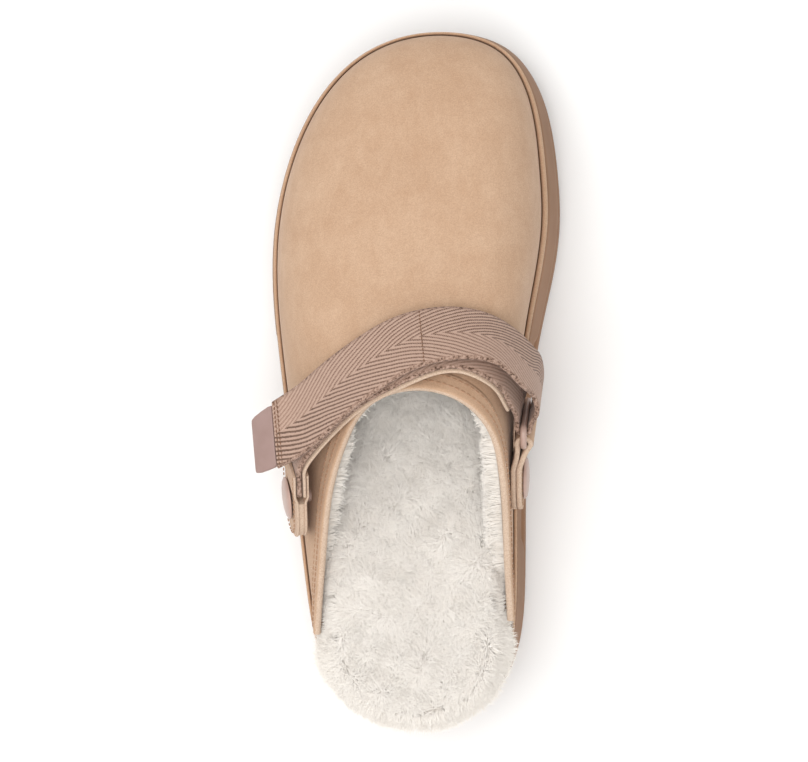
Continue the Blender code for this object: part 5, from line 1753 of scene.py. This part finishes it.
def make_stage():
    """Pale floor, soft studio light and the photo's camera."""
    scene = bpy.context.scene
    scene.view_settings.view_transform = "Standard"
    finish = {"Roughness": 0.9, "Specular IOR Level": 0.2, "Base Color": "#f4f4f3"}
    paper = new_material("matt_paper", finish)[0]
    corners = ((-1, -1), (1, -1), (1, 1), (-1, 1))
    points = [(x * FLOOR_REACH, y * FLOOR_REACH, 0) for x, y in corners]
    mesh_object("floor", points, [(0, 1, 2, 3)], paper, recalculate=False)
    scene.world = bpy.data.worlds.new("studio")
    scene.world.use_nodes = True
    background = scene.world.node_tree.nodes["Background"]
    feed(scene.world.node_tree, background, {"Color": "#ffffff", "Strength": 0.70})
    for name, place, size, power in LIGHTS:
        light = bpy.data.lights.new(name, "AREA")
        light.shape = "DISK"
        light.size = size
        light.energy = power
        lamp = linked(name, light)
        lamp.location = place
        lamp.rotation_mode = "QUATERNION"
        lamp.rotation_quaternion = (Vector(LIGHT_AIM) - lamp.location).to_track_quat("-Z", "Y")
    camera = bpy.data.cameras.new("camera")
    camera.sensor_width = 36.0
    camera.lens = 36.0 * FOCAL_PIXELS / IMAGE_WIDTH
    camera.clip_start, camera.clip_end = 0.05, 20.0
    viewer = linked("camera", camera)
    viewer.location = CAMERA_PLACE
    forward = unit(np.array(CAMERA_AIM) - np.array(viewer.location))
    right = unit(np.cross(forward, (0.0, 1.0, 0.0)))
    matrix = np.column_stack([right, np.cross(right, forward), -forward])
    viewer.rotation_mode = "QUATERNION"
    viewer.rotation_quaternion = Matrix(matrix.tolist()).to_quaternion()
    scene.camera = viewer


def material_named(name, make, *values, **more):
    """The material of this name, made on its first use."""
    return bpy.data.materials.get(name) or make(name, *values, **more)


def suede():
    looks = bpy.context.scene.slipper_looks
    colours = looks.suede_light, looks.suede, looks.suede_dark
    return material_named("brushed_cow_suede", suede_material, *colours)


def webbing():
    looks = bpy.context.scene.slipper_looks
    values = looks.webbing_light, looks.webbing, looks.webbing_groove_shade, looks.rib_pitch, looks.rib_lean
    length = float(chord_knots(lines_of_strap()[2][0])[-1])
    return material_named("woven_polyester_webbing", webbing_material, *values, length)


def plush():
    looks = bpy.context.scene.slipper_looks
    colours = looks.pile_root_shade, looks.pile, looks.pile_tip
    return material_named("wool_plush", pile_material, *colours)


def thread(name, colour):
    """Spun polyester thread: matt, with fine even fibres."""
    return material_named(name, plain_material, colour, 0.8, 2500.0, 0.00005)


def colour_property(name, description, default):
    return bpy.props.StringProperty(name=name, description=description, default=default)


class SlipperLooks(bpy.types.PropertyGroup):
    """Colours as sRGB hex values, and sizes of the patterns."""

    suede_light: colour_property("Suede, light", "Where the nap lies light", "#ceaf94")
    suede: colour_property("Suede", "The suede's main colour", "#c4a387")
    suede_dark: colour_property("Suede, dark", "Where the nap lies dark", "#bb987b")
    webbing_light: colour_property("Webbing, light", "Tops of the ribs", "#b99c8c")
    webbing: colour_property("Webbing", "The webbing's main colour", "#967968")
    # The webbing's darkest colour is painted shade, in the gaps between the ribs.
    webbing_groove_shade: colour_property("Webbing, dark", "Between the ribs", "#553e31")
    # The plush's deepest colour is painted shade, at the roots between the locks.
    pile_root_shade: colour_property("Plush, deep", "Between the locks", "#e7dfd5")
    pile: colour_property("Plush", "The plush's main colour", "#ede7df")
    pile_tip: colour_property("Plush, tips", "Tips of the strands", "#f4efe8")
    sole: colour_property("Sole", "The foam's colour", "#98745a")
    tip: colour_property("Strap tip", "The moulded end piece's colour", "#9c827b")
    metal: colour_property("Rivets and ring", "The coated metal's colour", "#b69a8e")
    rib_pitch: bpy.props.FloatProperty(
        name="Rib pitch", description="Distance between two ribs", default=0.0015, unit="LENGTH"
    )
    rib_lean: bpy.props.FloatProperty(
        name="Rib lean",
        description="Angle between the ribs and the strap",
        default=math.radians(20),
        unit="ROTATION",
    )


class SLIPPER_OT_sole(bpy.types.Operator):
    """Build the foam platform and the welt"""

    bl_idname = "slipper.sole"
    bl_label = "Sole and welt"

    def execute(self, context):
        colour = context.scene.slipper_looks.sole
        make_sole_piece(material_named("moulded_eva_foam", foam_material, colour, "#866449"))
        make_welt_piece(suede())
        return {"FINISHED"}


class SLIPPER_OT_upper(bpy.types.Operator):
    """Build the suede upper"""

    bl_idname = "slipper.upper"
    bl_label = "Upper"

    def execute(self, context):
        make_upper_piece(suede())
        return {"FINISHED"}


class SLIPPER_OT_plush(bpy.types.Operator):
    """Build the insole's cushion and the plush on it and inside the upper"""

    bl_idname = "slipper.plush"
    bl_label = "Insole and plush"

    def execute(self, context):
        cushion = make_insole_piece(plush())
        make_pile(cushion, plush())
        make_lining_pile(plush())
        return {"FINISHED"}


class SLIPPER_OT_strap(bpy.types.Operator):
    """Build the strap, its backing and its tip"""

    bl_idname = "slipper.strap"
    bl_label = "Strap"

    def execute(self, context):
        tip = context.scene.slipper_looks.tip
        plastic = material_named("moulded_tpu", plain_material, tip, 0.55, 700.0, 0.00005)
        _, _, lines, under = lines_of_strap()
        make_strap_pieces(lines, under, webbing(), suede(), plastic)
        return {"FINISHED"}


class SLIPPER_OT_hardware(bpy.types.Operator):
    """Build the tabs, the ring and the rivets"""

    bl_idname = "slipper.hardware"
    bl_label = "Tabs, ring and rivets"

    def execute(self, context):
        outer, inner = lines_of_strap()[:2]
        make_tab_pieces(outer, inner, suede())
        colour = context.scene.slipper_looks.metal
        metal = material_named("coated_zinc", plain_material, colour, 0.42, 900.0, 0.00004, 0.15)
        make_ring_piece(inner, metal)
        gap, thick = RIVET_OUTER[-2], OUTER_TAB_THICKNESS
        make_rivet_piece("rivet_outer_cap", outer, gap, thick, metal, "rivet_outer")
        gap, thick = RIVET_INNER[-2], 2 * TAB_LAYER
        make_rivet_piece("rivet_inner_cap", inner, gap, thick, metal, "rivet_inner")
        return {"FINISHED"}


class SLIPPER_OT_stitches(bpy.types.Operator):
    """Sew the collar, welt, strap and tabs"""

    bl_idname = "slipper.stitches"
    bl_label = "Stitches"

    def execute(self, context):
        outer, inner, lines, _ = lines_of_strap()
        light, dark = thread("tan_thread", "#a98468"), thread("brown_thread", "#7c5a43")
        make_stitch_pieces(outer, inner, lines, light, dark)
        return {"FINISHED"}


class SLIPPER_OT_stage(bpy.types.Operator):
    """Set the floor, the lights and the camera"""

    bl_idname = "slipper.stage"
    bl_label = "Stage"

    def execute(self, context):
        make_stage()
        return {"FINISHED"}


OPERATORS = (
    SLIPPER_OT_sole,
    SLIPPER_OT_upper,
    SLIPPER_OT_plush,
    SLIPPER_OT_strap,
    SLIPPER_OT_hardware,
    SLIPPER_OT_stitches,
    SLIPPER_OT_stage,
)


class SLIPPER_PT_panel(bpy.types.Panel):
    """Lists the slipper's pieces"""

    bl_idname = "SLIPPER_PT_panel"
    bl_label = "Clog slipper"
    bl_space_type = "VIEW_3D"
    bl_region_type = "UI"
    bl_category = "Slipper"

    def draw(self, context):
        looks = context.scene.slipper_looks
        for key in SlipperLooks.__annotations__:
            self.layout.prop(looks, key)
        for operator in OPERATORS:
            self.layout.operator(operator.bl_idname)


CLASSES = (SlipperLooks, *OPERATORS, SLIPPER_PT_panel)


def register():
    for item in CLASSES:
        bpy.utils.register_class(item)
    bpy.types.Scene.slipper_looks = bpy.props.PointerProperty(type=SlipperLooks)


def unregister():
    del bpy.types.Scene.slipper_looks
    for item in reversed(CLASSES):
        bpy.utils.unregister_class(item)


def main():
    register()
    for operator in OPERATORS:
        group, name = operator.bl_idname.split(".")
        getattr(getattr(bpy.ops, group), name)()


if __name__ == "__main__":
    main()
